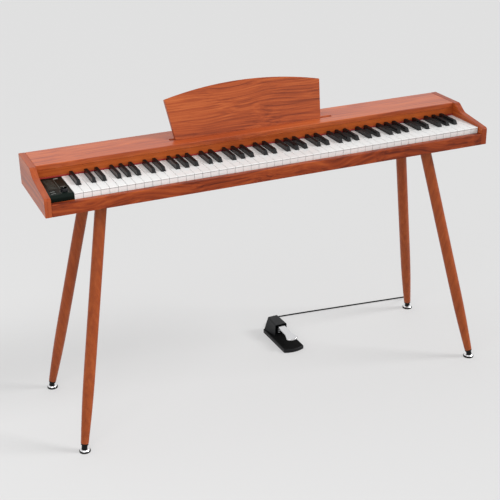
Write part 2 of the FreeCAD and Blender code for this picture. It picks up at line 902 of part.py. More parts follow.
def make_felts():
    """The name felt under the fallboard and the three stop felts of the keys."""
    felt_bottom = s.key_top + s.felt_clear
    lower = CHASSIS_TOP + s.stop_rail_rise
    parts = [
        box("name_felt", INNER_LEFT, from_front(s.name_felt_front), from_bottom(felt_bottom),
            INNER_WIDTH, s.name_felt_width, s.fallboard_lift - felt_bottom),
        box("white_stop_felt", CHASSIS_LEFT, from_front(s.white_stop_front), from_bottom(lower),
            CHASSIS_LENGTH, s.white_stop_width, s.stop_felt_top - lower),
        box("black_stop_felt", CHASSIS_LEFT, from_front(s.black_stop_front), from_bottom(lower),
            CHASSIS_LENGTH, s.black_stop_width, s.stop_felt_top - lower),
    ]
    plates = comb_lefts()
    for number, (here, after) in enumerate(zip(plates, plates[1:]), 1):
        left = here + s.comb_thick
        parts.append(box(f"upper_stop_felt_{number}", left, from_front(s.stop_rail_front),
                         from_bottom(s.lever_top + s.felt_clear), after - left,
                         s.stop_rail_width, s.stop_felt))
    return group("felt_strips", parts)


def make_contact_board():
    return box("contact_board", CHASSIS_LEFT, from_front(s.contact_front),
               from_bottom(BOARD_RAIL_TOP), CHASSIS_LENGTH, s.contact_width, s.circuit_thick)


def make_rubber_domes():
    """One rubber strip with a dome below each key."""
    bottom = BOARD_RAIL_TOP + s.circuit_thick
    parts = [box("rubber_strip", CHASSIS_LEFT, from_front(s.dome_depth) - s.rubber_width / 2,
                 from_bottom(bottom), CHASSIS_LENGTH, s.rubber_width, s.rubber_base)]
    for number, x in enumerate(dome_places(), 1):
        parts.append(cone(f"dome_{number}", x, from_front(s.dome_depth),
                          from_bottom(bottom + s.rubber_base), s.dome_radius,
                          s.dome_top_radius, s.dome_height))
    return fuse("rubber_domes", parts)


# The control panel
PANEL_TOP = s.key_top


def panel_hole(name, left, front, width, length):
    """A clearance hole through the panel's top for a button's cap."""
    return box(name, PANEL_LEFT + left - s.button_clear, from_front(front - s.button_clear),
               from_bottom(PANEL_TOP - s.panel_wall * 2), width + s.button_clear * 2,
               length + s.button_clear * 2, s.panel_wall * 2 + s.overrun)


def make_control_panel():
    bottom = s.bottom_thick
    depth = s.panel_back - s.key_front
    blank = box("panel_blank", PANEL_LEFT, from_front(s.key_front), from_bottom(bottom),
                s.panel_width, depth, PANEL_TOP - bottom)

    def pick(edge):
        middle = edge.CenterOfMass
        at_front = near(middle.y, from_front(s.key_front))
        return runs_along(edge, "x") and at_front and near(middle.z, from_bottom(PANEL_TOP))

    outer = rounded("panel_outer", blank, s.panel_round, pick)
    hollow = box("panel_hollow", PANEL_LEFT + s.panel_wall,
                 from_front(s.key_front + s.panel_round), from_bottom(bottom - s.overrun),
                 s.panel_width - s.panel_wall * 2, depth - s.panel_round - s.panel_wall,
                 PANEL_TOP - bottom - s.panel_wall + s.overrun)
    recess = box("window_recess", PANEL_LEFT + s.window_left, from_front(s.window_front),
                 from_bottom(PANEL_TOP - s.window_thick), s.window_width, s.window_length,
                 s.window_thick + s.overrun)
    shaft = cylinder("knob_hole", PANEL_LEFT + s.knob_left, from_front(s.knob_depth),
                     from_bottom(PANEL_TOP - s.panel_wall * 2), s.shaft_radius + s.running_clear,
                     s.panel_wall * 2 + s.overrun)
    holes = [
        panel_hole("first_bar_hole", s.bar_left, s.bar_front, s.bar_width, s.bar_length),
        panel_hole("second_bar_hole", s.bar_left, s.bar_front + s.bar_spacing, s.bar_width,
                   s.bar_length),
        panel_hole("power_hole", s.power_left, s.power_front, s.power_width, s.power_length),
    ]
    return cut("control_panel", outer, [hollow, recess, shaft] + holes)


def make_display_window():
    return box("display_window", PANEL_LEFT + s.window_left, from_front(s.window_front),
               from_bottom(PANEL_TOP - s.window_thick), s.window_width, s.window_length,
               s.window_thick)


def make_button(name, left, front, width, length):
    """A cap that stands out of the panel, on a rim that stays below it."""
    rim_top = PANEL_TOP - s.panel_wall - s.felt_clear
    cap = box(name + "_cap", PANEL_LEFT + left, from_front(front),
              from_bottom(rim_top - s.button_rim_thick), width, length,
              PANEL_TOP + s.button_rise - rim_top + s.button_rim_thick)
    rim = box(name + "_rim", PANEL_LEFT + left - s.button_rim, from_front(front - s.button_rim),
              from_bottom(rim_top - s.button_rim_thick), width + s.button_rim * 2,
              length + s.button_rim * 2, s.button_rim_thick)
    whole = fuse(name + "_whole", [cap, rim])

    def pick(edge):
        return near(edge.BoundBox.ZMin, from_bottom(PANEL_TOP + s.button_rise))

    return rounded(name, whole, s.button_clear, pick)


def make_knob():
    x = PANEL_LEFT + s.knob_left
    y = from_front(s.knob_depth)
    bottom = from_bottom(PANEL_TOP + s.knob_gap)
    head = cylinder("knob_head", x, y, bottom, s.knob_radius, s.knob_height)
    shaft = cylinder("knob_shaft", x, y, bottom - s.shaft_length, s.shaft_radius, s.shaft_length)
    whole = fuse("knob_whole", [head, shaft])
    mark = box("knob_mark", x - s.knob_mark_width / 2, y,
               bottom + s.knob_height - s.knob_mark_depth, s.knob_mark_width,
               s.knob_radius + s.overrun, s.knob_mark_depth + s.overrun)

    def pick(edge):
        return near(edge.BoundBox.ZMin, bottom + s.knob_height)

    return cut("volume_knob", rounded("knob_rounded", whole, s.knob_round, pick), [mark])


# Electronics and sound
def make_main_board():
    y = from_front(COMB_BACK + s.main_board_clear)
    post_bottom = BOTTOM_TOP
    board_bottom = post_bottom + s.post_height
    left = -s.main_board_length / 2
    parts = [box("main_circuit", left, y, board_bottom, s.main_board_length,
                 s.main_board_width, s.circuit_thick)]
    inset = s.post_radius * 2
    for number, (across, along) in enumerate(((0, 0), (1, 0), (0, 1), (1, 1)), 1):
        x = left + inset + (s.main_board_length - inset * 2) * across
        depth = y + inset + (s.main_board_width - inset * 2) * along
        parts.append(cylinder(f"board_post_{number}", x, depth, post_bottom, s.post_radius,
                              s.post_height))
    for number in range(1, CHIP_COUNT + 1):
        share = number / (CHIP_COUNT + 1)
        x = left + s.main_board_length * share - s.chip_size / 2
        parts.append(box(f"chip_{number}", x, y + (s.main_board_width - s.chip_size) / 2,
                         board_bottom + s.circuit_thick, s.chip_size, s.chip_size,
                         s.chip_height))
    return fuse("main_board", parts)


def make_speaker(name, x):
    y = from_front(SPEAKER_DEPTH)
    z = BOTTOM_TOP
    flange = stadium(name + "_flange", x, y, z, s.speaker_length, s.speaker_width,
                     s.speaker_flange)
    basket = stadium(name + "_basket", x, y, z + s.speaker_flange,
                     s.speaker_length - s.speaker_width / 2, s.port_width, s.basket_height)
    magnet = cylinder(name + "_magnet", x, y, z + s.speaker_flange + s.basket_height,
                      s.magnet_radius, s.magnet_height)
    return fuse(name, [flange, basket, magnet])


def make_grille(name, x):
    y = from_front(SPEAKER_DEPTH)
    z = s.case_bottom - s.grille_thick
    plate = stadium(name + "_plate", x, y, z, s.grille_length, s.grille_width, s.grille_thick)
    count = int((s.port_length - s.port_width).value // s.grille_pitch.value)
    slots = []
    for number in range(-(count // 2), count // 2 + 1):
        slots.append(stadium(f"{name}_slot_{number + count}", Size.of(0), Size.of(0), z - s.overrun,
                             s.port_width - s.grille_slot, s.grille_slot,
                             s.grille_thick + s.overrun * 2))
        place(slots[-1], x + s.grille_pitch * number, y, 0, (0, 0, 1), QUARTER_TURN)
    return cut(name, plate, slots)


def make_socket_plate():
    """Plate under the case with a power inlet, a headphone socket and the pedal's."""
    y = from_front(SOCKET_PLATE_FRONT + s.socket_plate_width / 2)
    plate = box("socket_face", SOCKET_PLATE_LEFT, from_front(SOCKET_PLATE_FRONT),
                s.case_bottom, s.socket_plate_length, s.socket_plate_width, s.sheet_thick)
    barrels = [plate]
    bores = []
    middle = SOCKET_PLATE_LEFT + s.socket_plate_length / 2
    kinds = ((-1, s.power_bore, s.power_depth), (0, s.jack_bore, s.jack_depth),
             (1, s.jack_bore, s.jack_depth))
    for number, radius, depth in kinds:
        x = middle + s.socket_pitch * number
        barrels.append(cylinder(f"barrel_{number + 2}", x, y, s.case_bottom, s.socket_outer,
                                depth + s.socket_cap))
        bores.append(cylinder(f"bore_{number + 2}", x, y, s.case_bottom - s.overrun, radius,
                              depth + s.overrun))
    return cut("socket_plate", fuse("socket_body", barrels), bores)


def plug_end():
    """Where the cord enters the plug: X, Y and Z."""
    x = SOCKET_PLATE_LEFT + s.socket_plate_length / 2 + s.socket_pitch
    y = from_front(SOCKET_PLATE_FRONT + s.socket_plate_width / 2)
    return x, y, s.case_bottom - s.felt_clear - s.plug_grip_length


def make_plug():
    """Plug on the pedal's cord, in the last socket of the plate."""
    x, y, grip_end = plug_end()
    grip = cylinder("plug_grip", x, y, grip_end, s.plug_grip_radius, s.plug_grip_length)
    shaft = cylinder("plug_shaft", x, y, grip_end + s.plug_grip_length, s.plug_shaft_radius,
                     s.plug_shaft_length)
    whole = fuse("plug_whole", [grip, shaft])

    def pick(edge):
        return near(edge.BoundBox.ZMax, grip_end)

    return rounded("jack_plug", whole, s.plug_round, pick)


# The legs
LEG_FOOT_SPREAD = s.case_width / 2 - s.leg_side_inset + s.leg_side_splay
LEG_FOOT_REACH = CASE_DEPTH / 2 - s.leg_edge_inset + s.leg_edge_splay
LEG_LEAN_X = s.leg_side_splay / s.case_bottom
LEG_LEAN_Y = s.leg_edge_splay / s.case_bottom
LEG_STRETCH = root(LEG_LEAN_X * LEG_LEAN_X + LEG_LEAN_Y * LEG_LEAN_Y + 1)
LEG_SPLAY = arc_tangent(root(LEG_LEAN_X * LEG_LEAN_X + LEG_LEAN_Y * LEG_LEAN_Y))
LEG_SIDES = (("front_left", -1, -1), ("front_right", 1, -1), ("rear_left", -1, 1),
             ("rear_right", 1, 1))


def leg_point(across, along, height):
    """Where a leg's centre line is at a height above the floor."""
    x = across * (LEG_FOOT_SPREAD - LEG_LEAN_X * height)
    y = from_front(CASE_DEPTH / 2) + along * (LEG_FOOT_REACH - LEG_LEAN_Y * height)
    return x, y, height


def down_leg(across, along):
    """Axis and angle that turn +Z to point down a leg."""
    return {"axis": (-along * LEG_LEAN_Y, across * LEG_LEAN_X, 0), "angle": HALF_TURN - LEG_SPLAY}


def make_leg(name, across, along):
    top = s.case_bottom + s.leg_overrun
    body = cone(name + "_taper", *leg_point(across, along, top), s.leg_top_radius,
                s.leg_end_radius, (top - s.ankle_height) * LEG_STRETCH,
                **down_leg(across, along))
    x, y, _ = leg_point(across, along, s.case_bottom)
    level = s.case_bottom - s.leg_plate_thick
    reach = s.leg_top_radius * 2
    above = box(name + "_above", x - reach, y - reach, level, reach * 2, reach * 2,
                s.leg_overrun * 2 + s.leg_plate_thick)
    stud_hole = cylinder(name + "_stud_hole", x, y, s.case_bottom,
                         s.leg_stud_radius + s.running_clear,
                         s.leg_stud_length + s.running_clear, **down_leg(across, along))
    return cut(name, body, [above, stud_hole])


def make_leg_plates(screws):
    """Steel plate above each leg, with the slanted stud that the leg screws onto."""
    plates = []
    for side, across, along in LEG_SIDES:
        x, y, _ = leg_point(across, along, s.case_bottom)
        half = s.leg_plate_size / 2
        level = s.case_bottom - s.leg_plate_thick
        plate = box(f"plate_{side}", x - half, y - half, level, s.leg_plate_size,
                    s.leg_plate_size, s.leg_plate_thick)
        stud = cylinder(f"stud_{side}", x, y, s.case_bottom, s.leg_stud_radius,
                        s.leg_stud_length, **down_leg(across, along))
        above = box(f"above_{side}", x - half, y - half, s.case_bottom, s.leg_plate_size,
                    s.leg_plate_size, s.overrun)
        whole = fuse(f"plate_and_stud_{side}", [plate, stud])
        plates.append(cut(f"leg_plate_{side}", whole, [above, screws]))
    return group("leg_plates", plates)


def make_necks():
    """Black ferrule and neck on the end of each leg, ending level just above its disc."""
    necks = []
    for side, across, along in LEG_SIDES:
        x, y, z = leg_point(across, along, s.ankle_height)
        rod = cylinder(f"neck_rod_{side}", x, y, z, s.neck_radius,
                       s.ankle_height * LEG_STRETCH, **down_leg(across, along))
        ferrule = cylinder(f"neck_ferrule_{side}", x, y, z, s.leg_end_radius,
                           s.ferrule_height, **down_leg(across, along))
        neck = fuse(f"neck_whole_{side}", [ferrule, rod])
        reach = s.disc_radius * 2
        below = box(f"below_{side}", x - reach, y - reach, -s.disc_radius, reach * 2, reach * 2,
                    s.disc_radius + s.disc_height + s.neck_clear)
        necks.append(cut(f"neck_{side}", neck, [below]))
    return group("leg_necks", necks)


def make_disc(name, across, along):
    """Levelling disc, flat on the floor under the end of a leg."""
    corners = [
        (0, 0),
        (s.disc_radius, 0),
        (s.disc_radius, s.disc_rim),
        (s.disc_top_radius, s.disc_height),
        (0, s.disc_height),
    ]
    body = turned_body(name + "_turned", corners)
    level = (s.disc_height + s.ankle_height) / 2
    x, y, _ = leg_point(across, along, level)
    place(body, x, y, 0)

    def pick(edge):
        lowest = edge.BoundBox.ZMin
        return isinstance(edge.Curve, Part.Circle) and lowest > s.disc_rim.value - TOUCH
    return rounded(name, body, s.disc_round, pick)


# Screws
def screw(name, x, y, head_bottom):
    """A wood screw from below; its head stands on head_bottom, pointing up."""
    head = cylinder(name + "_head", x, y, head_bottom, s.screw_head_radius, s.screw_head_height)
    shank = cylinder(name + "_shank", x, y, head_bottom + s.screw_head_height, s.screw_radius,
                     s.screw_length)
    return fuse(name, [head, shank])


def make_screws():
    screws = []
    half = s.leg_screw_spacing / 2
    for side, across, along in LEG_SIDES:
        x, y, _ = leg_point(across, along, s.case_bottom)
        head_bottom = s.case_bottom - s.leg_plate_thick - s.screw_head_height
        for number, (dx, dy) in enumerate(((-1, -1), (1, -1), (-1, 1), (1, 1)), 1):
            screws.append(screw(f"leg_screw_{side}_{number}", x + half * dx, y + half * dy,
                                head_bottom))
    back_row = BACK_INNER - s.board_screw_inset
    pitch = (s.case_width / 2 - s.board_screw_side_inset) / SCREWS_FROM_MIDDLE
    for row, depth in (("front", s.board_screw_front), ("back", back_row)):
        for number in range(-SCREWS_FROM_MIDDLE, SCREWS_FROM_MIDDLE + 1):
            screws.append(screw(f"board_screw_{row}_{number + SCREWS_FROM_MIDDLE + 1}",
                                pitch * number, from_front(depth),
                                s.case_bottom - s.screw_head_height))
    return group("case_screws", screws)


# The pedal, drawn with the middle of its back edge on the floor at the origin
def seated(name, piece):
    """The pedal's piece where it stands, turned with the whole pedal."""
    still = group(name + "_straight", [piece])
    turned = link(name + "_turned", still, s.pedal_centre, from_front(s.pedal_back), 0,
                  (0, 0, 1), s.pedal_yaw)
    return group(name, [turned])


def cover_section(foot_width, crown_width, top, wall):
    """Half-arch outline of the cover on its base, drawn in by a wall."""
    foot = foot_width / 2 - wall
    crown = crown_width / 2 - wall
    corner = s.cover_corner - wall
    high = top - wall
    low = s.pedal_base_height
    corners = [
        (-foot, low),
        (foot, low),
        (crown, high - corner),
        (crown - corner, high),
        (-crown + corner, high),
        (-crown, high - corner),
    ]
    return corners, {2: corner, 4: corner}


def cover_block(name, wall, front_reach):
    """The cover's tapered block between its back and its front."""
    back = cover_section(s.cover_foot_width, s.cover_crown_width, s.cover_height, wall)
    front = cover_section(s.cover_front_foot_width, s.cover_front_crown_width,
                          s.cover_front_height, wall)
    lifts = (s.cover_inset + wall, s.cover_inset + s.cover_length + front_reach)
    return lofted_body(name, "XZ_Plane", (back[0], front[0]), lifts, (back[1], front[1]))


def make_pedal_base():
    half = s.pedal_width / 2
    radius = (half * half + s.pedal_nose * s.pedal_nose) / (s.pedal_nose * 2)
    shoulder = s.pedal_nose - s.pedal_length
    corners = [
        (-half, shoulder),
        (half, shoulder),
        (half, 0),
        (-half, 0),
    ]
    body = padded_body("pedal_plate", "XY_Plane", corners, s.pedal_base_height, {0: radius})
    doc.recompute()

    def pick(edge):
        at_back = edge.CenterOfMass.y > -TOUCH
        at_top = near(edge.BoundBox.ZMin, s.pedal_base_height) and not at_back
        return runs_along(edge, "z") or at_top

    plate = rounded("pedal_plate_rounded", body, s.pedal_base_round, pick)
    ear_inner = s.treadle_width / 2 + s.pedal_ear_gap
    parts = [plate]
    for side, x in (("left", -ear_inner - s.pedal_ear_thick), ("right", ear_inner)):
        parts.append(box(f"ear_{side}", x, -(s.pedal_pivot_inset + s.pedal_boss_radius),
                         s.pedal_base_height, s.pedal_ear_thick, s.pedal_boss_radius * 2,
                         s.pedal_pivot_height + s.pedal_boss_radius - s.pedal_base_height))
    depth = s.cover_inset + s.cover_wall
    sleeve = cylinder("cord_sleeve", 0, -depth, s.sleeve_height, s.sleeve_radius,
                      s.sleeve_length + depth, (-1, 0, 0), QUARTER_TURN)
    whole = fuse("pedal_base_whole", parts + [sleeve])
    pin_hole = cylinder("pedal_pin_hole", -half, -s.pedal_pivot_inset, s.pedal_pivot_height,
                        s.pedal_pin_radius + s.running_clear, half * 2, (0, 1, 0), QUARTER_TURN)
    return seated("pedal_base", cut("pedal_base_bored", whole, [pin_hole]))


def make_pedal_cover():
    """Moulded shell over the pivot, open below and at its mouth for the treadle."""
    outer = cover_block("cover_outer", Size.of(0), Size.of(0))
    hollow = cover_block("cover_hollow", s.cover_wall, s.overrun)
    radius = s.sleeve_radius + s.running_clear
    depth = s.cover_inset + s.cover_wall + s.overrun
    notch = cylinder("sleeve_notch", 0, -depth, s.sleeve_height, radius, depth + s.overrun,
                     (-1, 0, 0), QUARTER_TURN)
    return seated("pedal_cover", cut("cover_shell", outer, [hollow, notch]))


def make_pedal_treadle():
    """Chrome lever that widens to a rounded end, on a boss that turns on the pin."""
    half = s.treadle_width / 2
    half_front = s.treadle_front_width / 2
    shoulder = s.treadle_nose - s.treadle_reach
    neck = shoulder + s.treadle_flare
    corners = [
        (-half, s.treadle_back),
        (-half, neck),
        (-half_front, shoulder),
        (half_front, shoulder),
        (half, neck),
        (half, s.treadle_back),
    ]
    nose = s.treadle_nose
    radius = (half_front * half_front + nose * nose) / (nose * 2)
    body = padded_body("treadle_plate", "XY_Plane", corners, s.treadle_thick, {2: radius})
    doc.recompute()

    def at_corner(edge):
        return runs_along(edge, "z") and near(edge.CenterOfMass.y, shoulder)

    shaped = rounded("treadle_shaped", body, s.treadle_corner, at_corner)
    doc.recompute()

    def on_top(edge):
        lies_flat = edge.BoundBox.ZLength < TOUCH and edge.CenterOfMass.z > TOUCH
        return lies_flat and edge.CenterOfMass.y < s.treadle_back.value - TOUCH

    plate = rounded("treadle_rounded", shaped, s.treadle_round, on_top)
    tilt = s.treadle_tilt
    raised = link("treadle_raised", plate, 0, -s.treadle_rise * sine(tilt),
                  s.treadle_rise * cosine(tilt), (1, 0, 0), tilt)
    boss = cylinder("treadle_boss", -half, 0, 0, s.pedal_boss_radius, s.treadle_width,
                    (0, 1, 0), QUARTER_TURN)
    whole = fuse("treadle_whole", [raised, boss])
    bore = cylinder("treadle_bore", -half - s.overrun, 0, 0,
                    s.pedal_pin_radius + s.running_clear, s.treadle_width + s.overrun * 2,
                    (0, 1, 0), QUARTER_TURN)
    lever = cut("treadle_lever", whole, [bore])
    hung = link("treadle_hung", lever, 0, -s.pedal_pivot_inset, s.pedal_pivot_height)
    return seated("pedal_treadle", hung)


def make_pedal_pin():
    half = s.treadle_width / 2 + s.pedal_ear_gap + s.pedal_ear_thick
    pin = cylinder("pin_rod", -half, -s.pedal_pivot_inset, s.pedal_pivot_height,
                   s.pedal_pin_radius, half * 2, (0, 1, 0), QUARTER_TURN)
    return seated("pedal_pin", pin)


def make_pedal_spring():
    """Return spring below the treadle, as a plain tube of its outer size."""
    reach = s.spring_inset - s.pedal_pivot_inset + s.spring_radius
    underside = s.pedal_pivot_height + s.treadle_rise - reach * sine(s.treadle_tilt)
    height = underside - s.pedal_base_height - s.spring_clear
    tube = cylinder("spring_tube", 0, -s.spring_inset, s.pedal_base_height, s.spring_radius,
                    height)
    inside = cylinder("spring_inside", 0, -s.spring_inset, s.pedal_base_height - s.overrun,
                      s.spring_radius - s.spring_wire, height + s.overrun * 2)
    return seated("pedal_spring", cut("spring_coil", tube, [inside]))


# The cord
def leg_side_route():
    """The two ends of the cord's run up the right back leg."""
    lines = [(leg_point(1, 1, Size.of(z)), x, y) for x, y, z in CORD_FROM_LEG]
    return [(at[0] + x, at[1] + y, at[2]) for at, x, y in lines]


def cord_route():
    """The points of the cord's route, from the pedal's sleeve to the plug."""
    back = s.pedal_centre, from_front(s.pedal_back)
    foot = leg_point(1, 1, Size.of(0))
    plug = plug_end()
    outs = (s.sleeve_length, s.sleeve_length + CORD_START_RUN)
    route = [(back[0] - sine(s.pedal_yaw) * out, back[1] + cosine(s.pedal_yaw) * out,
              s.sleeve_height) for out in outs]
    route += [(back[0] + x, back[1] + y, z) for x, y, z in CORD_FROM_PEDAL]
    route += [(foot[0] + x, foot[1] + y, z) for x, y, z in CORD_FROM_FOOT]
    route += leg_side_route()
    route += [(plug[0] + x, plug[1] + y, plug[2] + z) for x, y, z in CORD_FROM_PLUG]
    return [as_vector(point) for point in route]


def as_vector(point):
    return FreeCAD.Vector(*(Size.of(part).value for part in point))


def cord_wire(points):
    """Straight runs joined by tangent arcs, each as large as its two runs allow."""
    edges = []
    radii = []
    start = points[0]
    for before, here, after in zip(points, points[1:], points[2:]):
        into = (here - before).normalize()
        away = (after - here).normalize()
        half_turn = into.getAngle(away) / 2
        shorter = min((here - before).Length, (after - here).Length)
        trim = shorter * CORD_ARC_SHARE
        radii.append(trim / math.tan(half_turn))
        first = here - into * trim
        last = here + away * trim
        sideways = (away - into).normalize()
        middle = here + sideways * (trim / math.cos(half_turn) / math.tan(half_turn)
                                    * (1 - math.cos(half_turn)))
        edges.append(Part.LineSegment(start, first).toShape())
        edges.append(Part.Arc(first, middle, last).toShape())
        start = last
    edges.append(Part.LineSegment(start, points[-1]).toShape())
    print("cord radii", [round(radius, 1) for radius in radii])
    return Part.Wire(edges)


def make_cord():
    route = cord_route()
    wire = cord_wire(route)
    radius = s.cord_radius.value
    ring = Part.Wire(Part.Circle(route[0], route[1] - route[0], radius).toShape())
    tube = wire.makePipeShell([ring], True, False)
    expected = math.pi * radius ** 2 * wire.Length
    print("cord length", round(wire.Length), "volume share", round(tube.Volume / expected, 4))
    item = doc.addObject("Part::Feature", "pedal_cord")
    item.Shape = tube
    return item


def make_clips(leg):
    """Moulded clips that hold the cord against the back of the leg."""
    low, high = (as_vector(point) for point in leg_side_route())
    along = (high - low).normalize()
    turn = FreeCAD.Rotation(FreeCAD.Vector(0, 0, 1), along)
    outer = (s.cord_radius + s.clip_wall).value
    length = s.clip_length.value
    clips = []
    for number, share in enumerate(CLIP_HEIGHT_SHARES, 1):
        centre = low + (high - low) * share
        start = centre - along * (length / 2)
        ring = Part.makeCylinder(outer, length)
        ring.Placement = FreeCAD.Placement(start, turn)
        bore = Part.makeCylinder((s.cord_radius + s.clip_clear).value, length * 2)
        bore.Placement = FreeCAD.Placement(start - along * (length / 2), turn)
        x, y, z = leg_point(1, 1, Size.of(centre.z))
        inward = FreeCAD.Vector(x.value, y.value, z.value) - centre
        reach = inward.Length
        foot = Part.makeBox(length, outer * 2, reach)
        foot.Placement = FreeCAD.Placement(FreeCAD.Vector(-length / 2, -outer, 0),
                                           FreeCAD.Rotation())
        frame = FreeCAD.Rotation(along, inward.cross(along), inward, "ZXY")
        foot.Placement = FreeCAD.Placement(centre, frame).multiply(foot.Placement)
        clip = ring.fuse(foot).cut(bore).cut(leg.Shape).removeSplitter()
        clips.append(clip)
    item = doc.addObject("Part::Feature", "cord_clips")
    item.Shape = Part.makeCompound(clips)
    return item


def make_pieces():
    """Every node of the part, in the order of assembly."""
    half = s.case_width / 2
    screws = make_screws()
    legs = [make_leg("leg_" + side, across, along) for side, across, along in LEG_SIDES]
    discs = [make_disc("foot_" + side, across, along) for side, across, along in LEG_SIDES]
    pieces = [
        make_cheek("left_cheek", -half),
        make_cheek("right_cheek", half - s.cheek_thick),
        make_lid(),
        make_fallboard(),
        make_key_slip(),
        make_bottom_board(screws),
        make_back_panel(),
        make_music_desk(),
        make_chassis(),
        make_pivot_rod(),
        make_felts(),
        make_contact_board(),
        make_rubber_domes(),
        make_control_panel(),
        make_display_window(),
        make_knob(),
        make_button("power_button", s.power_left, s.power_front, s.power_width, s.power_length),
        make_button("voice_button", s.bar_left, s.bar_front, s.bar_width, s.bar_length),
        make_button("function_button", s.bar_left, s.bar_front + s.bar_spacing, s.bar_width,
                    s.bar_length),
        make_main_board(),
        group("speakers", [make_speaker("left_speaker", -SPEAKER_OFFSET),
                           make_speaker("right_speaker", SPEAKER_OFFSET)]),
        group("speaker_grilles", [make_grille("left_grille", -SPEAKER_OFFSET),
                                  make_grille("right_grille", SPEAKER_OFFSET)]),
        make_socket_plate(),
        make_plug(),
        make_leg_plates(screws),
        make_necks(),
        screws,
        make_pedal_base(),
        make_pedal_cover(),
        make_pedal_treadle(),
        make_pedal_pin(),
        make_pedal_spring(),
        make_cord(),
    ]
    doc.recompute()
    pieces.append(make_clips(legs[-1]))
    return pieces + legs + discs + make_keys()


def check(pieces):
    """Stop if any object failed or any piece is not a set of valid solids."""
    for item in doc.Objects:
        if "Invalid" in item.State or "Error" in item.State:
            raise RuntimeError(f"{item.Name} failed: {item.State}")
    for piece in pieces:
        shape = piece.Shape
        if shape.isNull() or not shape.isValid() or not shape.Solids:
            raise RuntimeError(f"{piece.Label} has no valid solid")


def write(pieces):
    os.makedirs(FOLDER, exist_ok=True)
    for piece in pieces:
        piece.Shape.exportStep(os.path.join(FOLDER, piece.Label + ".step"))
        print(piece.Label, len(piece.Shape.Solids), round(piece.Shape.Volume / 1000, 2))


pieces = make_pieces()
doc.recompute()
check(pieces)
write(pieces)
print("nodes", len(pieces))
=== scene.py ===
import math

import bmesh
import bpy
from mathutils import Matrix, Vector


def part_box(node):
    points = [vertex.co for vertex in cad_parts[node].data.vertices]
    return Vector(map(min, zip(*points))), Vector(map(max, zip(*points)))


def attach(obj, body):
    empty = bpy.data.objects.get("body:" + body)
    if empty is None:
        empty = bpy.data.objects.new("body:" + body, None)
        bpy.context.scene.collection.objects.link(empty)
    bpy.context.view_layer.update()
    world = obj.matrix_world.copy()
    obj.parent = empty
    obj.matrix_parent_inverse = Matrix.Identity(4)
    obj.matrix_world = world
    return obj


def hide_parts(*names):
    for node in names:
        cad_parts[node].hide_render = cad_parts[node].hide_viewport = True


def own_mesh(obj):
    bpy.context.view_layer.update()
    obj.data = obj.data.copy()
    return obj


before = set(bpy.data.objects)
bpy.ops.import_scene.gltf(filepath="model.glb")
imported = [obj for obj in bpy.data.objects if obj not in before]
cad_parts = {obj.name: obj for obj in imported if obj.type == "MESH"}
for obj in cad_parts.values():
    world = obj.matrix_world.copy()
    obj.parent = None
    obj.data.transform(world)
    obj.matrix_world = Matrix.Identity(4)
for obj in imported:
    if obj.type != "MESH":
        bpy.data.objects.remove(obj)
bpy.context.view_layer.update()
scene = bpy.context.scene
scene.view_settings.view_transform = "Standard"

# The camera stands to the left of the player's place, above the level of the lid, and
# looks down along the keys.
LENS_LENGTH = 76.24
SHIFT_RIGHT = 0.0489
SHIFT_UP = 0.0241
lens_place = Vector((-1.16211, -2.63431, 1.70852))
to_the_right = Vector((0.92442525, -0.38061154, -0.02393364))
downwards = Vector((-0.18057655, -0.38157815, -0.90652646))
ahead = Vector((0.33590188, 0.8423378, -0.42147))
camera = bpy.data.objects.new("camera", bpy.data.cameras.new("camera"))
camera.data.lens = LENS_LENGTH
camera.data.shift_x = SHIFT_RIGHT
camera.data.shift_y = SHIFT_UP
facing = Matrix((to_the_right, -downwards, -ahead)).transposed().to_4x4()
camera.matrix_world = Matrix.Translation(lens_place) @ facing
scene.collection.objects.link(camera)
scene.camera = camera

# The studio: a pale floor in a white tent that is dimmer behind the camera, a softbox over
# the left end, a fill lamp in front, and a broad lamp high at the right, whose soft shadows
# fall to the left.
PALE_FLOOR = (0.88, 0.88, 0.88, 1)
FLOOR_SHADE = (0.60, 0.60, 0.60, 1)
FLOOR_GLOW = 0.42
FLOOR_REACH = 30
TENT_FRONT = 0.53
TENT_BACK = 0.90
TENT_SEEN = 0.88
TENT_LEAN = (-0.35, 1, 0.6)
TENT_FULL_FROM = 0.9


def add_node(tree, kind, **settings):
    """A node of a material with its settings; a name with capitals is a socket's."""
    made = tree.nodes.new("ShaderNode" + kind)
    for name, value in settings.items():
        if name[0].isupper():
            made.inputs[name.replace("_", " ")].default_value = value
        else:
            setattr(made, name, value)
    return made


def lamp(name, kind, place, target, power):
    """A lamp that faces a point and isn't seen itself."""
    light = bpy.data.lights.new(name, kind)
    light.energy = power
    stand = bpy.data.objects.new(name, light)
    aim = (Vector(target) - Vector(place)).to_track_quat("-Z", "Y")
    stand.matrix_world = Matrix.Translation(place) @ aim.to_matrix().to_4x4()
    stand.visible_camera = False
    scene.collection.objects.link(stand)
    return light


def sum_of(tree, parts):
    """The sum of several outputs, each times its weight."""
    total = None
    for output, weight in parts:
        step = add_node(tree, "Math", operation="MULTIPLY_ADD")
        tree.links.new(output, step.inputs[0])
        step.inputs[1].default_value = weight
        if total is None:
            step.inputs[2].default_value = 0
        else:
            tree.links.new(total, step.inputs[2])
        total = step.outputs[0]
    return total


def looked_at(tree):
    """1 on rays from the camera, a mirror or a glass, and 0 on the light that falls."""
    path = add_node(tree, "LightPath")
    seen = path.outputs["Is Camera Ray"]
    for kind in ("Is Glossy Ray", "Is Transmission Ray"):
        either = add_node(tree, "Math", operation="MAXIMUM")
        tree.links.new(seen, either.inputs[0])
        tree.links.new(path.outputs[kind], either.inputs[1])
        seen = either.outputs[0]
    return seen


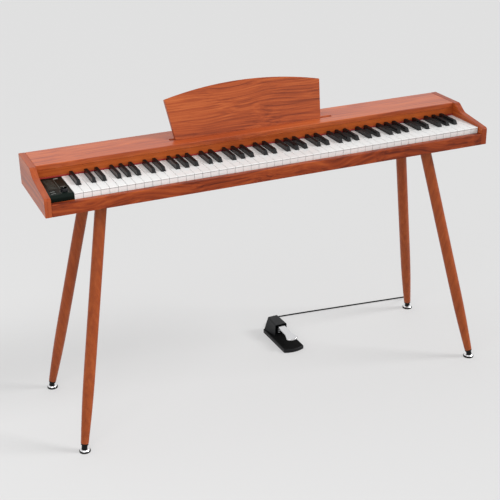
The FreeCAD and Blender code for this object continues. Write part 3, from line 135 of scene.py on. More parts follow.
world = bpy.data.worlds.new("white_tent")
scene.world = world
world.use_nodes = True
tree = world.node_tree
where = add_node(tree, "SeparateXYZ")
tree.links.new(add_node(tree, "TexCoord").outputs["Generated"], where.inputs["Vector"])
tent = add_node(tree, "MapRange", interpolation_type="SMOOTHSTEP", From_Max=TENT_FULL_FROM,
                To_Min=TENT_FRONT, To_Max=TENT_BACK)
tree.links.new(sum_of(tree, zip(where.outputs, TENT_LEAN)), tent.inputs["Value"])
level = add_node(tree, "Mix", data_type="FLOAT")
level.inputs["B"].default_value = TENT_SEEN
tree.links.new(looked_at(tree), level.inputs["Factor"])
tree.links.new(tent.outputs["Result"], level.inputs["A"])
tree.nodes["Background"].inputs["Color"].default_value = (1, 1, 1, 1)
tree.links.new(level.outputs["Result"], tree.nodes["Background"].inputs["Strength"])
lamp("left_softbox", "AREA", place=(-1.3, -1.1, 1.9), target=(-0.2, 0, 0.6), power=8).size = 1.0
lamp("front_fill", "AREA", place=(-1.5, -3.2, 2.0), target=(-0.1, 0, 0.6), power=18).size = 1.4
lamp("right_lamp", "SUN", place=(2.75, -1.13, 2.1), target=(0, 0, 0),
     power=1.95).angle = math.radians(20)

floor_mesh = bpy.data.meshes.new("studio_floor")
sheet = bmesh.new()
bmesh.ops.create_grid(sheet, x_segments=1, y_segments=1, size=FLOOR_REACH)
sheet.to_mesh(floor_mesh)
sheet.free()
floor = bpy.data.objects.new("studio_floor", floor_mesh)
scene.collection.objects.link(floor)
paper = bpy.data.materials.new("pale_paper")
paper.use_nodes = True
tree = paper.node_tree
tree.nodes.remove(tree.nodes["Principled BSDF"])
matt = add_node(tree, "BsdfDiffuse", Color=FLOOR_SHADE)
glow = add_node(tree, "Emission", Color=PALE_FLOOR)
share = add_node(tree, "Math", operation="MULTIPLY")
share.inputs[1].default_value = FLOOR_GLOW
tree.links.new(looked_at(tree), share.inputs[0])
both = add_node(tree, "MixShader")
tree.links.new(share.outputs[0], both.inputs[0])
tree.links.new(matt.outputs[0], both.inputs[1])
tree.links.new(glow.outputs[0], both.inputs[2])
tree.links.new(both.outputs[0], tree.nodes["Material Output"].inputs["Surface"])
floor_mesh.materials.append(paper)

# The case's boards are MDF under a reddish rosewood veneer with a satin lacquer. They
# are screwed from below and behind, and their edges are eased with sandpaper. The cheeks'
# rims carry bands, upright at the ends. The left cheek's bands take lighter tones as painted
# light, and the right cheek's take the slip's darker tones as painted shade.
EASED_EDGE = 0.0007
CHEEK_EDGE = 0.0012
LID_EDGE = 0.0018
LID_TONES = ((0.230, 0.032, 0.011, 1), (0.440, 0.083, 0.020, 1), (0.590, 0.142, 0.035, 1))
SIDE_TONES = ((0.205, 0.028, 0.009, 1), (0.390, 0.071, 0.015, 1), (0.535, 0.120, 0.025, 1))
# Painted light: the band tones of the left cheek, lighter than those of the right cheek.
LEFT_LIT_BAND_TONES = ((0.225, 0.032, 0.010, 1), (0.340, 0.063, 0.017, 1), (0.440, 0.101, 0.029, 1))
SLIP_TONES = ((0.100, 0.013, 0.005, 1), (0.275, 0.044, 0.010, 1), (0.400, 0.080, 0.018, 1))
INNER_TONES = ((0.10, 0.028, 0.012, 1), (0.18, 0.050, 0.020, 1), (0.26, 0.08, 0.034, 1))
ALONG_CHEEK = (0, 0, math.pi / 2)
UPRIGHT = (0, math.pi / 2, 0)
RIM_TILT = 0.7
END_TILT = 0.9
WAVES_ACROSS = 9
BANDS = (0.9, 105, 105)
FIBRES = (7, 420, 420)
CLOUDS = (1.6, 10, 10)
PORES = (50, 1500, 1500)
BAND_SHARE = 0.62
FIBRE_SHARE = 0.24
CLOUD_SHARE = 0.30
MIDDLE_TONE = 0.58
TONE_SPREAD = 0.17
PORE_SHADE = (0.62, 0.55, 0.55, 1)
PORE_DEPTH = 0.6
PORE_FROM = 0.30
PORE_TO = 0.42
RELIEF_STRENGTH = 0.08
RELIEF_DEEP = 0.0005
SMOOTHEST = -0.06
ROUGHEST = 0.10
SAME_PLACE = 1e-5
FLAT_WITHIN = math.radians(0.5)
SHARP_FROM = math.radians(40)
SMOOTH_UNDER = math.radians(50)


def plastic_like(name, colour, roughness, shine=0.5, coat=0.0, coat_roughness=0.1, metallic=0.0):
    """A new material of one Principled shader, with its plain values on its sockets."""
    material = bpy.data.materials.new(name)
    material.use_nodes = True
    shader = material.node_tree.nodes["Principled BSDF"]
    shader.inputs["Base Color"].default_value = colour
    shader.inputs["Roughness"].default_value = roughness
    shader.inputs["Specular IOR Level"].default_value = shine
    shader.inputs["Metallic"].default_value = metallic
    shader.inputs["Coat Weight"].default_value = coat
    shader.inputs["Coat Roughness"].default_value = coat_roughness
    return material, material.node_tree, shader


def stretched(tree, place, scale):
    """The piece's own coordinates, scaled by axis."""
    mapping = add_node(tree, "Mapping")
    mapping.inputs["Scale"].default_value = scale
    tree.links.new(place, mapping.inputs["Vector"])
    return mapping.outputs["Vector"]


def noise(tree, place, scale, detail, roughness, output="Fac"):
    """A noise that is finer along the axes with the greater scale."""
    made = add_node(tree, "TexNoise", Scale=1, Detail=detail, Roughness=roughness)
    tree.links.new(stretched(tree, place, scale), made.inputs["Vector"])
    return made.outputs[output]


def ramp(tree, factor, stops):
    """Colours along a factor, given as pairs of position and colour."""
    band = add_node(tree, "ValToRGB")
    while len(band.color_ramp.elements) < len(stops):
        band.color_ramp.elements.new(0.5)
    for element, (position, colour) in zip(band.color_ramp.elements, stops):
        element.position = position
        element.color = colour
    tree.links.new(factor, band.inputs["Fac"])
    return band.outputs["Color"]


def bumped(tree, shader, height, strength, distance):
    """Relief from a height on the shader's normal."""
    relief = add_node(tree, "Bump", Strength=strength, Distance=distance)
    tree.links.new(height, relief.inputs["Height"])
    tree.links.new(relief.outputs["Normal"], shader.inputs["Normal"])


def wood(name, dark, middle, light, turn=(0.7, 0, 0), roughness=0.34, shine=0.25, coat=0.1,
         figure=0.045, sway=1.7, contrast=1.0, fineness=1.0):
    """Flat-sawn veneer with its grain along X before the turn.

    Slow waves bend the growth bands into arches; fibres and pores run along them.
    """
    material, tree, shader = plastic_like(name, middle, roughness, shine, coat, 0.2)
    place = add_node(tree, "TexCoord").outputs["Object"]
    turned = add_node(tree, "Mapping")
    turned.inputs["Rotation"].default_value = turn
    tree.links.new(place, turned.inputs["Vector"])
    place = turned.outputs["Vector"]
    waves = noise(tree, place, (sway, WAVES_ACROSS, WAVES_ACROSS), 1, 0.4, "Color")
    bend = add_node(tree, "VectorMath", operation="SCALE")
    tree.links.new(waves, bend.inputs[0])
    bend.inputs["Scale"].default_value = figure
    bent = add_node(tree, "VectorMath", operation="ADD")
    tree.links.new(place, bent.inputs[0])
    tree.links.new(bend.outputs["Vector"], bent.inputs[1])
    bent = bent.outputs["Vector"]
    bands = noise(tree, bent, [scale * fineness for scale in BANDS], 3, 0.55)
    fibres = noise(tree, bent, FIBRES, 4, 0.6)
    clouds = noise(tree, place, CLOUDS, 2, 0.5)
    pores = noise(tree, place, PORES, 2, 0.5)
    tone = sum_of(tree, [(bands, BAND_SHARE), (fibres, FIBRE_SHARE), (clouds, CLOUD_SHARE)])
    spread = TONE_SPREAD / contrast
    veneer = ramp(tree, tone, [(MIDDLE_TONE - spread, dark), (MIDDLE_TONE, middle),
                               (MIDDLE_TONE + spread, light)])
    specks = ramp(tree, pores, [(PORE_FROM, PORE_SHADE), (PORE_TO, (1, 1, 1, 1))])
    darker = add_node(tree, "Mix", data_type="RGBA", blend_type="MULTIPLY")
    darker.inputs["Factor"].default_value = PORE_DEPTH
    tree.links.new(veneer, darker.inputs["A"])
    tree.links.new(specks, darker.inputs["B"])
    tree.links.new(darker.outputs["Result"], shader.inputs["Base Color"])
    relief = sum_of(tree, [(fibres, 0.6), (pores, 0.4)])
    bumped(tree, shader, relief, RELIEF_STRENGTH, RELIEF_DEEP)
    dull = add_node(tree, "MapRange", To_Min=roughness + SMOOTHEST,
                    To_Max=roughness + ROUGHEST)
    tree.links.new(fibres, dull.inputs["Value"])
    tree.links.new(dull.outputs["Result"], shader.inputs["Roughness"])
    return material


def dressed(node, material):
    """A CAD node that keeps its shape and gets a material."""
    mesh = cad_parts[node].data
    mesh.materials.clear()
    mesh.materials.append(material)


def finished(name, shape, material, body, slot, *nodes):
    """A new piece from a bmesh, riding on a body and standing for CAD nodes."""
    mesh = bpy.data.meshes.new(name)
    for face in shape.faces:
        face.smooth = True
    for edge in shape.edges:
        edge.smooth = len(edge.link_faces) == 2 and edge.calc_face_angle(0) < SMOOTH_UNDER
    shape.to_mesh(mesh)
    shape.free()
    mesh.materials.append(material)
    piece = bpy.data.objects.new(name, mesh)
    scene.collection.objects.link(piece)
    level = piece.modifiers.new("level_shading", "WEIGHTED_NORMAL")
    level.keep_sharp = True
    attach(piece, body)
    if nodes:
        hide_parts(*nodes)
    return piece


def copied(node):
    """The shape of a CAD node as a bmesh, with its corners joined."""
    shape = bmesh.new()
    shape.from_mesh(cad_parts[node].data)
    bmesh.ops.remove_doubles(shape, verts=shape.verts, dist=SAME_PLACE)
    return shape


def eased(name, node, edge, material, body, slot, segments=2):
    """A piece with the CAD node's shape and its sharp edges rounded over."""
    shape = copied(node)
    bmesh.ops.dissolve_limit(shape, angle_limit=FLAT_WITHIN, verts=shape.verts,
                             edges=shape.edges)
    sharp = [e for e in shape.edges if len(e.link_faces) == 2
             and e.calc_face_angle(0) > SHARP_FROM]
    bmesh.ops.bevel(shape, geom=sharp, offset=edge, offset_type="OFFSET", affect="EDGES",
                    segments=segments, profile=0.5, material=-1, clamp_overlap=True)
    return finished(name, shape, material, body, slot, node)


lid_veneer = wood("lid_veneer", *LID_TONES, coat=0.2, figure=0.06, sway=2.5, fineness=1.3)
cheek_veneer = wood("cheek_veneer", *SIDE_TONES, ALONG_CHEEK)
# Painted light and shade: the left cheek's bands get lighter tones, the right cheek's the slip's
# darker ones.
for board, tones in (("left_cheek", LEFT_LIT_BAND_TONES), ("right_cheek", SLIP_TONES)):
    cheek = eased(board + "_board", board, CHEEK_EDGE, cheek_veneer, "case", "case_wood")
    for lie, turn in (("long_band_", ALONG_CHEEK), ("end_band_", UPRIGHT)):
        cheek.data.materials.append(wood(lie + board, *tones, turn, shine=0.18, coat=0.05,
                                         figure=0.01, contrast=0.7))
    for face in cheek.data.polygons:
        if abs(face.normal.x) < RIM_TILT:
            face.material_index = 2 if abs(face.normal.y) > END_TILT else 1
eased("top_lid_board", "top_lid", LID_EDGE, lid_veneer, "case", "case_wood")
fallboard_veneer = wood("fallboard_veneer", *SLIP_TONES[1:], SIDE_TONES[2], shine=0.1,
                        coat=0.02, contrast=0.8)
eased("fallboard_board", "fallboard", EASED_EDGE, fallboard_veneer, "case", "case_wood")
slip_veneer = wood("key_slip_veneer", *SLIP_TONES, shine=0.14, coat=0.05, figure=0.09, sway=5,
                   contrast=1.2)
eased("key_slip_board", "key_slip", CHEEK_EDGE, slip_veneer, "case", "case_wood")
raw_board = wood("stained_board", *INNER_TONES, roughness=0.6, coat=0.0)
for board in ("bottom_board", "back_panel"):
    eased(board + "_stained", board, EASED_EDGE, raw_board, "case", "board")

# The music desk is one veneered panel with a bowed top. It stands in the lid's slanted
# slot and lifts out.
DESK_TONES = ((0.175, 0.029, 0.010, 1), (0.385, 0.075, 0.019, 1), (0.515, 0.127, 0.034, 1))
desk_veneer = wood("music_desk_veneer", *DESK_TONES, coat=0.04, figure=0.06, sway=3.5,
                   contrast=1.1, fineness=1.7)
eased("music_desk_panel", "music_desk", EASED_EDGE, desk_veneer, "music_desk", "desk_wood")

# The legs are turned beech, stained to match the case: a straight dowel that tapers over
# its last third. Each screws onto a slanted stud in its steel plate.
LEG_TONES = ((0.205, 0.034, 0.008, 1), (0.325, 0.066, 0.014, 1), (0.445, 0.108, 0.024, 1))
LEG_HEIGHT = 0.688
LEG_ANKLE = 0.025
LEG_TOP_ACROSS = 0.495
LEG_TOP_ALONG = {-1: -0.0875, 1: 0.0485}
LEG_SPLAY_ACROSS = 0.137
LEG_SPLAY_ALONG = 0.120
CONE_TOP_RADIUS = 0.016
CONE_END_RADIUS = 0.0105
LEG_TURNING = ((LEG_ANKLE, 0.0110), (0.040, 0.0117), (0.065, 0.0128), (0.095, 0.0139),
               (0.130, 0.0150), (0.170, 0.0158), (0.212, 0.0162), (0.250, 0.0163),
               (LEG_HEIGHT, 0.0163))


def swollen_to_turning(shape, across, along):
    """Vertices of a cone on a leg's line, moved out level to the turned leg's radius."""
    for corner in shape.verts:
        height = min(max(corner.co.z, LEG_ANKLE), LEG_HEIGHT)
        share = (LEG_HEIGHT - corner.co.z) / LEG_HEIGHT
        middle = Vector((across * (LEG_TOP_ACROSS + LEG_SPLAY_ACROSS * share),
                         LEG_TOP_ALONG[along] + along * LEG_SPLAY_ALONG * share, corner.co.z))
        rise = (height - LEG_ANKLE) / (LEG_HEIGHT - LEG_ANKLE)
        cone = CONE_END_RADIUS + (CONE_TOP_RADIUS - CONE_END_RADIUS) * rise
        for (low, thin), (high, thick) in zip(LEG_TURNING, LEG_TURNING[1:]):
            if height <= high:
                radius = thin + (thick - thin) * (height - low) / (high - low)
                break
        corner.co = middle + (corner.co - middle) * (radius / cone)


for side, across, along in (("front_left", -1, -1), ("front_right", 1, -1),
                            ("rear_left", -1, 1), ("rear_right", 1, 1)):
    grain = (along * math.atan(LEG_SPLAY_ALONG / LEG_HEIGHT),
             math.pi / 2 - across * math.atan(LEG_SPLAY_ACROSS / LEG_HEIGHT), 0)
    beech = wood("beech_" + side, *LEG_TONES, grain, roughness=0.36,
                 shine=0.20, coat=0.06, figure=0.006, contrast=0.55)
    leg = copied("leg_" + side)
    for height, _ in LEG_TURNING[1:-1]:
        bmesh.ops.bisect_plane(leg, geom=leg.verts[:] + leg.edges[:] + leg.faces[:],
                               plane_co=(0, 0, height), plane_no=(0, 0, 1))
    swollen_to_turning(leg, across, along)
    finished("leg_" + side + "_turned", leg, beech, "case", "leg_wood", "leg_" + side)

# Each leg ends in a black ferrule and neck over a chromed levelling disc with a black
# rim that stands on the floor.
BLACK_PAINT = (0.004, 0.004, 0.004, 1)
CHROME = (0.86, 0.86, 0.87, 1)
RIM_HEIGHT = 0.0052
SMEAR_SHARE = 0.03


def coordinate(tree, kind, axis):
    """One axis of a texture coordinate, such as Z of Object."""
    parts = add_node(tree, "SeparateXYZ")
    tree.links.new(add_node(tree, "TexCoord").outputs[kind], parts.inputs["Vector"])
    return parts.outputs[axis]


def fine_grain(tree, shader, scale, strength, distance, low, high):
    """Moulding or casting texture, with its roughness varied between two values."""
    place = add_node(tree, "TexCoord").outputs["Object"]
    grain = add_node(tree, "TexNoise", Scale=scale, Detail=3, Roughness=0.6)
    tree.links.new(place, grain.inputs["Vector"])
    bumped(tree, shader, grain.outputs["Fac"], strength, distance)
    smears = add_node(tree, "TexNoise", Scale=scale * SMEAR_SHARE, Detail=4, Roughness=0.6)
    tree.links.new(place, smears.inputs["Vector"])
    spread = add_node(tree, "MapRange", To_Min=low, To_Max=high)
    tree.links.new(smears.outputs["Fac"], spread.inputs["Value"])
    tree.links.new(spread.outputs["Result"], shader.inputs["Roughness"])
    return smears.outputs["Fac"]


def grained(name, colour, roughness, grain, spread, **finish):
    """A material with grain (scale, strength, distance) and a spread of roughness."""
    material, tree, shader = plastic_like(name, colour, roughness, **finish)
    fine_grain(tree, shader, *grain, *spread)
    return material


def metal_above(tree, shader, limit, below, metal):
    """Bare metal above a height, and another colour below it."""
    above = add_node(tree, "Math", operation="GREATER_THAN")
    above.inputs[1].default_value = limit
    tree.links.new(coordinate(tree, "Object", "Z"), above.inputs[0])
    tree.links.new(above.outputs[0], shader.inputs["Metallic"])
    tree.links.new(ramp(tree, above.outputs[0], [(0.4, below), (0.6, metal)]),
                   shader.inputs["Base Color"])


black_steel = grained("black_painted_steel", BLACK_PAINT, 0.35, (900, 0.15, 0.0003),
                      (0.25, 0.45), shine=0.15)
dressed("leg_necks", black_steel)
dressed("leg_plates", black_steel)
disc_metal, tree, shader = plastic_like("chromed_disc", CHROME, 0.3, 0.3)
fine_grain(tree, shader, 500, 0.05, 0.0002, 0.22, 0.36)
metal_above(tree, shader, RIM_HEIGHT, BLACK_PAINT, CHROME)
for side in ("front_left", "front_right", "rear_left", "rear_right"):
    dressed("foot_" + side, disc_metal)

# The keys: injection-moulded, white with a soft gloss, and satin black with a finely
# textured top. They turn on one rod behind the fallboard. The fronts of the white ones are
# painted lighter than their tops as painted light, and a grey band just under each lip is
# painted shade.
IVORY_WHITE = (0.745, 0.745, 0.74, 1)
# Painted light: the lighter white given to the fronts of the white keys.
FRONT_LIT_WHITE = (0.88, 0.88, 0.87, 1)
# Painted shade: a grey band on the key fronts just under each lip's overhang.
LIP_SHADE = (0.34, 0.34, 0.34, 1)
LIP_UNDER = 0.7334
LIP_DEEP = 0.0008
LIP_EDGE = (0.73, 0.73, 0.72, 1)
EBONY_BLACK = (0.004, 0.004, 0.005, 1)
EBONY_DEEP = (0.003, 0.003, 0.0035, 1)
EBONY_SIDE_COAT = 0.85
EBONY_TOP_COAT = 0.04
SINGLE_KEYS = ("c4", "c4_sharp", "d4", "d4_sharp", "e4", "f4", "f4_sharp", "g4", "g4_sharp",
               "a4", "a4_sharp", "b4", "c5")
white_key, tree, shader = plastic_like("white_key_plastic", IVORY_WHITE, 0.25, 0.4)
cast = fine_grain(tree, shader, 700, 0.02, 0.0002, 0.20, 0.30)
# Mask of the painted shade band just under the lip.
lip_shade_band = add_node(tree, "Math", operation="COMPARE")
tree.links.new(coordinate(tree, "Object", "Z"), lip_shade_band.inputs[0])
lip_shade_band.inputs[1].default_value = LIP_UNDER
lip_shade_band.inputs[2].default_value = LIP_DEEP
# Painted light on the fronts, which face -Y, and painted shade in the band under each lip; the
# cast grain varies the tops.
tone = sum_of(tree, [(cast, 0.2), (coordinate(tree, "Normal", "Y"), -0.8),
                     (lip_shade_band.outputs[0], -1.0)])
tree.links.new(ramp(tree, tone, [(0.0, LIP_SHADE), (0.04, LIP_EDGE), (0.13, IVORY_WHITE),
                                 (0.8, FRONT_LIT_WHITE)]),
               shader.inputs["Base Color"])
black_key, tree, shader = plastic_like("black_key_plastic", EBONY_BLACK, 0.5, 0.07, coat=1.0,
                                        coat_roughness=0.16)
cast = fine_grain(tree, shader, 1500, 0.2, 0.0003, 0.44, 0.58)
polished = add_node(tree, "MapRange", From_Min=0.4, From_Max=0.8, To_Min=EBONY_SIDE_COAT,
                    To_Max=EBONY_TOP_COAT)
tree.links.new(coordinate(tree, "Normal", "Z"), polished.inputs["Value"])
tree.links.new(polished.outputs["Result"], shader.inputs["Coat Weight"])
tree.links.new(ramp(tree, cast, [(0.3, EBONY_DEEP), (0.7, EBONY_BLACK)]),
               shader.inputs["Base Color"])
for note in SINGLE_KEYS:
    dressed("key_" + note, black_key if note.endswith("sharp") else white_key)
for side in ("low", "high"):
    dressed("white_keys_" + side, white_key)
    dressed("black_keys_" + side, black_key)

# The key chassis is zinc-plated pressed steel with the steel rod through its comb.
zinc = grained("zinc_plate", (0.45, 0.45, 0.46, 1), 0.4, (300, 0.10, 0.0003),
               (0.32, 0.5), metallic=1.0)
dressed("key_chassis", zinc)
dressed("case_screws", zinc)
bright_steel = grained("ground_steel", (0.62, 0.62, 0.63, 1), 0.2, (1200, 0.05, 0.0002),
                       (0.15, 0.3), metallic=1.0)
dressed("pivot_rod", bright_steel)
dressed("pedal_pin", bright_steel)

# The felt strips are glued: a red one closes the gap under the fallboard, and others
# stop the keys above and below without noise.
FELT_RED = (0.38, 0.016, 0.009, 1)
FELT_DEEP = (0.24, 0.010, 0.007, 1)
FELT_EDGE = 0.0005
felt, tree, shader = plastic_like("red_felt", FELT_RED, 0.95)
shader.inputs["Sheen Weight"].default_value = 0.15
shader.inputs["Sheen Roughness"].default_value = 0.5
fuzz = add_node(tree, "TexNoise", Scale=1400, Detail=6, Roughness=0.75)
tree.links.new(add_node(tree, "TexCoord").outputs["Object"], fuzz.inputs["Vector"])
tree.links.new(ramp(tree, fuzz.outputs["Fac"], [(0.3, FELT_DEEP), (0.65, FELT_RED)]),
               shader.inputs["Base Color"])
bumped(tree, shader, fuzz.outputs["Fac"], 0.8, 0.0008)
eased("felt_strip_set", "felt_strips", FELT_EDGE, felt, "case", "felt", segments=3)

# Circuit boards with green solder mask, and the grey silicone strip of key contacts.
green_board = grained("solder_mask", (0.02, 0.16, 0.06, 1), 0.3, (400, 0.1, 0.0002),
                      (0.22, 0.4), coat=0.4)
dressed("contact_board", green_board)
dressed("main_board", green_board)
silicone = grained("grey_silicone", (0.22, 0.22, 0.23, 1), 0.6, (800, 0.2, 0.0003), (0.5, 0.7))
dressed("rubber_domes", silicone)

# Speakers, grilles, sockets and clips are black moulded parts with a fine spark-eroded
# texture. The clips grip the turned leg.
moulded_black = grained("moulded_black", (0.007, 0.0075, 0.0085, 1), 0.42, (1100, 0.3, 0.0004),
                        (0.36, 0.55), shine=0.22)
for node in ("speakers", "speaker_grilles", "socket_plate"):
    dressed(node, moulded_black)
clips = copied("cord_clips")
swollen_to_turning(clips, 1, 1)
finished("cord_clip_set", clips, moulded_black, "case", "black_plastic", "cord_clips")

# The control panel is a glossy black moulding at the left of the keys, with a tinted
# window, a volume knob and three keys that click.
GLOSS_BLACK = (0.003, 0.007, 0.005, 1)
PANEL_EDGE = 0.0005
gloss_black = grained("gloss_black", GLOSS_BLACK, 0.3, (900, 0.08, 0.0002),
                      (0.34, 0.48), shine=0.10)
eased("control_panel_shell", "control_panel", PANEL_EDGE, gloss_black, "case", "panel")
for node in ("voice_button", "function_button"):
    dressed(node, gloss_black)
grey_button = grained("grey_button", (0.035, 0.045, 0.038, 1), 0.4, (900, 0.08, 0.0002),
                      (0.34, 0.46), shine=0.4)
dressed("power_button", grey_button)
tinted = grained("tinted_window", (0.003, 0.008, 0.006, 1), 0.3, (300, 0.02, 0.0002),
                 (0.26, 0.34), shine=0.08)
dressed("display_window", tinted)


def bar_of(shape, left, front, right, back, base, top):
    """One flat bar between two corners, added to a shape."""
    made = bmesh.ops.create_cube(shape, size=1)["verts"]
    bmesh.ops.scale(shape, vec=(right - left, back - front, top - base), verts=made)
    bmesh.ops.translate(shape, vec=((left + right) / 2, (front + back) / 2, (base + top) / 2),
                        verts=made)
    return made


# The marks on the panel are printed in pale ink: a blank plate, a dash before each bar key
# and ticks round the knob. A dim line beside the window is a painted highlight of its right
# edge, and faint rows show in the window.
PANEL_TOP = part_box("control_panel")[1].z
INK_THICK = 0.00012
KNOB_MIDDLE = (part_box("volume_knob")[0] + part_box("volume_knob")[1]) / 2
WINDOW_FRONT_LEFT, WINDOW_BACK_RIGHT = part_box("display_window")
PLATE_GAP = 0.0040
PLATE_WIDE = 0.011
PLATE_LONG = 0.004
DASH_WIDE = 0.012
DASH_LONG = 0.0016
DASH_INSET = 0.002
TICKS = 11
TICK_WIDE = 0.0006
TICK_FROM = 0.0108
TICK_TO = 0.0128
FIRST_TICK = -135
TICK_TURN = 27
ROWS = 8
ROW_STEP = 0.009
ROW_LONG = 0.0012
ROW_INSET = 0.003
FIRST_ROW = 0.008
# Painted highlight: the dim line beside the window's right edge lies between these offsets.
EDGE_HIGHLIGHT_FROM = 0.0014
EDGE_HIGHLIGHT_TO = 0.0023
ink_layer = bmesh.new()
bars = [(WINDOW_BACK_RIGHT.x + PLATE_GAP, WINDOW_BACK_RIGHT.y - 0.005, PLATE_WIDE, PLATE_LONG)]
for key in ("voice_button", "function_button"):
    front_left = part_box(key)[0]
    bars.append((front_left.x + DASH_INSET, front_left.y - DASH_LONG, DASH_WIDE, DASH_LONG))
for left, front, width, length in bars:
    bar_of(ink_layer, left, front, left + width, front + length, PANEL_TOP, PANEL_TOP + INK_THICK)
for step in range(TICKS):
    tick = bar_of(ink_layer, KNOB_MIDDLE.x - TICK_WIDE / 2, KNOB_MIDDLE.y + TICK_FROM,
                  KNOB_MIDDLE.x + TICK_WIDE / 2, KNOB_MIDDLE.y + TICK_TO, PANEL_TOP,
                  PANEL_TOP + INK_THICK)
    turn = Matrix.Rotation(math.radians(FIRST_TICK + TICK_TURN * step), 3, "Z")
    bmesh.ops.rotate(ink_layer, cent=KNOB_MIDDLE, verts=tick, matrix=turn)
pale_ink = grained("pale_ink", (0.38, 0.38, 0.36, 1), 0.5, (1600, 0.1, 0.0001), (0.42, 0.6))
finished("panel_marks", ink_layer, pale_ink, "case", "panel")
row_layer = bmesh.new()
# Painted highlight of the window's right edge, then the window's faint rows.
bar_of(row_layer, WINDOW_BACK_RIGHT.x + EDGE_HIGHLIGHT_FROM, WINDOW_FRONT_LEFT.y,
       WINDOW_BACK_RIGHT.x + EDGE_HIGHLIGHT_TO, WINDOW_BACK_RIGHT.y - 0.002, PANEL_TOP,
       PANEL_TOP + INK_THICK)
for step in range(ROWS):
    front = WINDOW_FRONT_LEFT.y + FIRST_ROW + ROW_STEP * step
    bar_of(row_layer, WINDOW_FRONT_LEFT.x + ROW_INSET, front, WINDOW_BACK_RIGHT.x - ROW_INSET,
           front + ROW_LONG, PANEL_TOP, PANEL_TOP + INK_THICK)
dim_ink_and_highlight = grained("dim_ink_and_highlight", (0.110, 0.130, 0.115, 1), 0.4, (1600, 0.1, 0.0001), (0.36, 0.5))
finished("window_rows_and_highlight", row_layer, dim_ink_and_highlight, "case", "display")

# The volume knob is moulded with a ribbed grip, a dished top and a pointer line, and is
# pressed onto the shaft of the control behind the panel.
KNOB_RADIUS = 0.009
KNOB_RIBS = 30
KNOB_RIB_ROOT = 0.955
POINTER_WIDE = 0.001
POINTER_FROM = 0.0022
POINTER_TO = 0.0078
SHAFT_RADIUS = 0.003
SHAFT_LONG = 0.0122
knob_low = PANEL_TOP + 0.0005
knob_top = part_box("volume_knob")[1].z
knob_profile = ((knob_top - knob_low - 0.0010, 1.0), (0.0007, 0.96), (0.0003, 0.90),
                (0.0, 0.78), (-0.0004, 0.70))
knob = bmesh.new()
around = bmesh.ops.create_circle(knob, cap_ends=True, segments=KNOB_RIBS * 4,
                                 radius=KNOB_RADIUS)["verts"]
for place, corner in enumerate(around):
    if place % 4 > 1:
        corner.co *= KNOB_RIB_ROOT
bmesh.ops.translate(knob, vec=(KNOB_MIDDLE.x, KNOB_MIDDLE.y, knob_low), verts=around)
skin = knob.faces[:]
for rise, share in knob_profile:
    grown = bmesh.ops.extrude_face_region(knob, geom=skin)
    skin = [part for part in grown["geom"] if isinstance(part, bmesh.types.BMFace)]
    edge = [part for part in grown["geom"] if isinstance(part, bmesh.types.BMVert)]
    bmesh.ops.translate(knob, vec=(0, 0, rise), verts=edge)
    for corner in edge:
        across = Vector((corner.co.x - KNOB_MIDDLE.x, corner.co.y - KNOB_MIDDLE.y, 0))
        wanted = KNOB_RADIUS * share * (1 if share < 1 else across.length / KNOB_RADIUS)
        corner.co += across.normalized() * (wanted - across.length)
shaft = bmesh.ops.create_cone(knob, cap_ends=True, segments=20, radius1=SHAFT_RADIUS,
                              radius2=SHAFT_RADIUS, depth=SHAFT_LONG)["verts"]
bmesh.ops.translate(knob, verts=shaft,
                    vec=(KNOB_MIDDLE.x, KNOB_MIDDLE.y,
                         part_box("volume_knob")[0].z + SHAFT_LONG / 2))
bmesh.ops.recalc_face_normals(knob, faces=knob.faces)
knob_black = grained("knob_black", (0.006, 0.006, 0.008, 1), 0.28, (1200, 0.1, 0.0002),
                     (0.22, 0.36))
finished("volume_knob_grip", knob, knob_black, "volume_knob", "panel", "volume_knob")
pointer = bmesh.new()
bar_of(pointer, KNOB_MIDDLE.x - POINTER_WIDE / 2, KNOB_MIDDLE.y + POINTER_FROM,
       KNOB_MIDDLE.x + POINTER_WIDE / 2, KNOB_MIDDLE.y + POINTER_TO, knob_top - 0.0005,
       knob_top + 0.00005)
finished("volume_knob_pointer", pointer, pale_ink, "volume_knob", "panel")

# The sustain pedal: a textured black base and cover around a chromed treadle that turns
# on a pin over its return spring.
BASE_EDGE = 0.0010
COVER_EDGE = 0.0012
rubber_black = grained("ribbed_rubber", (0.005, 0.005, 0.005, 1), 0.75, (700, 0.4, 0.0005),
                       (0.65, 0.85), shine=0.06)
base = eased("pedal_base_shell", "pedal_base", BASE_EDGE, moulded_black, "case", "black_plastic")
base.data.materials.append(rubber_black)
for face in base.data.polygons:
    face.material_index = 1 if face.normal.z > 0.9 else 0
eased("pedal_cover_shell", "pedal_cover", COVER_EDGE, moulded_black, "case", "black_plastic")
chrome = grained("polished_chrome", (0.72, 0.72, 0.73, 1), 0.12, (260, 0.02, 0.0002),
                 (0.07, 0.2), metallic=1.0)
dressed("pedal_treadle", chrome)

# The return spring is a coil of steel wire between the base and the treadle, which
# squashes it.
SPRING_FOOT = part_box("pedal_spring")[0].z
SPRING_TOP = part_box("pedal_spring")[1].z
SPRING_MIDDLE = (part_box("pedal_spring")[0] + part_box("pedal_spring")[1]) / 2
SPRING_RADIUS = 0.00525
SPRING_WIRE = 0.0007
SPRING_TURNS = 6
SPRING_STEPS = SPRING_TURNS * 24
coil = bmesh.new()
ring = bmesh.ops.create_circle(coil, cap_ends=False, segments=10, radius=SPRING_WIRE)["verts"]
bmesh.ops.rotate(coil, cent=(0, 0, 0), matrix=Matrix.Rotation(math.pi / 2, 3, "X"), verts=ring)
start = (SPRING_MIDDLE.x + SPRING_RADIUS, SPRING_MIDDLE.y, SPRING_FOOT + SPRING_WIRE)
bmesh.ops.translate(coil, vec=start, verts=ring)
rise = (SPRING_TOP - SPRING_FOOT - SPRING_WIRE * 2) / SPRING_STEPS
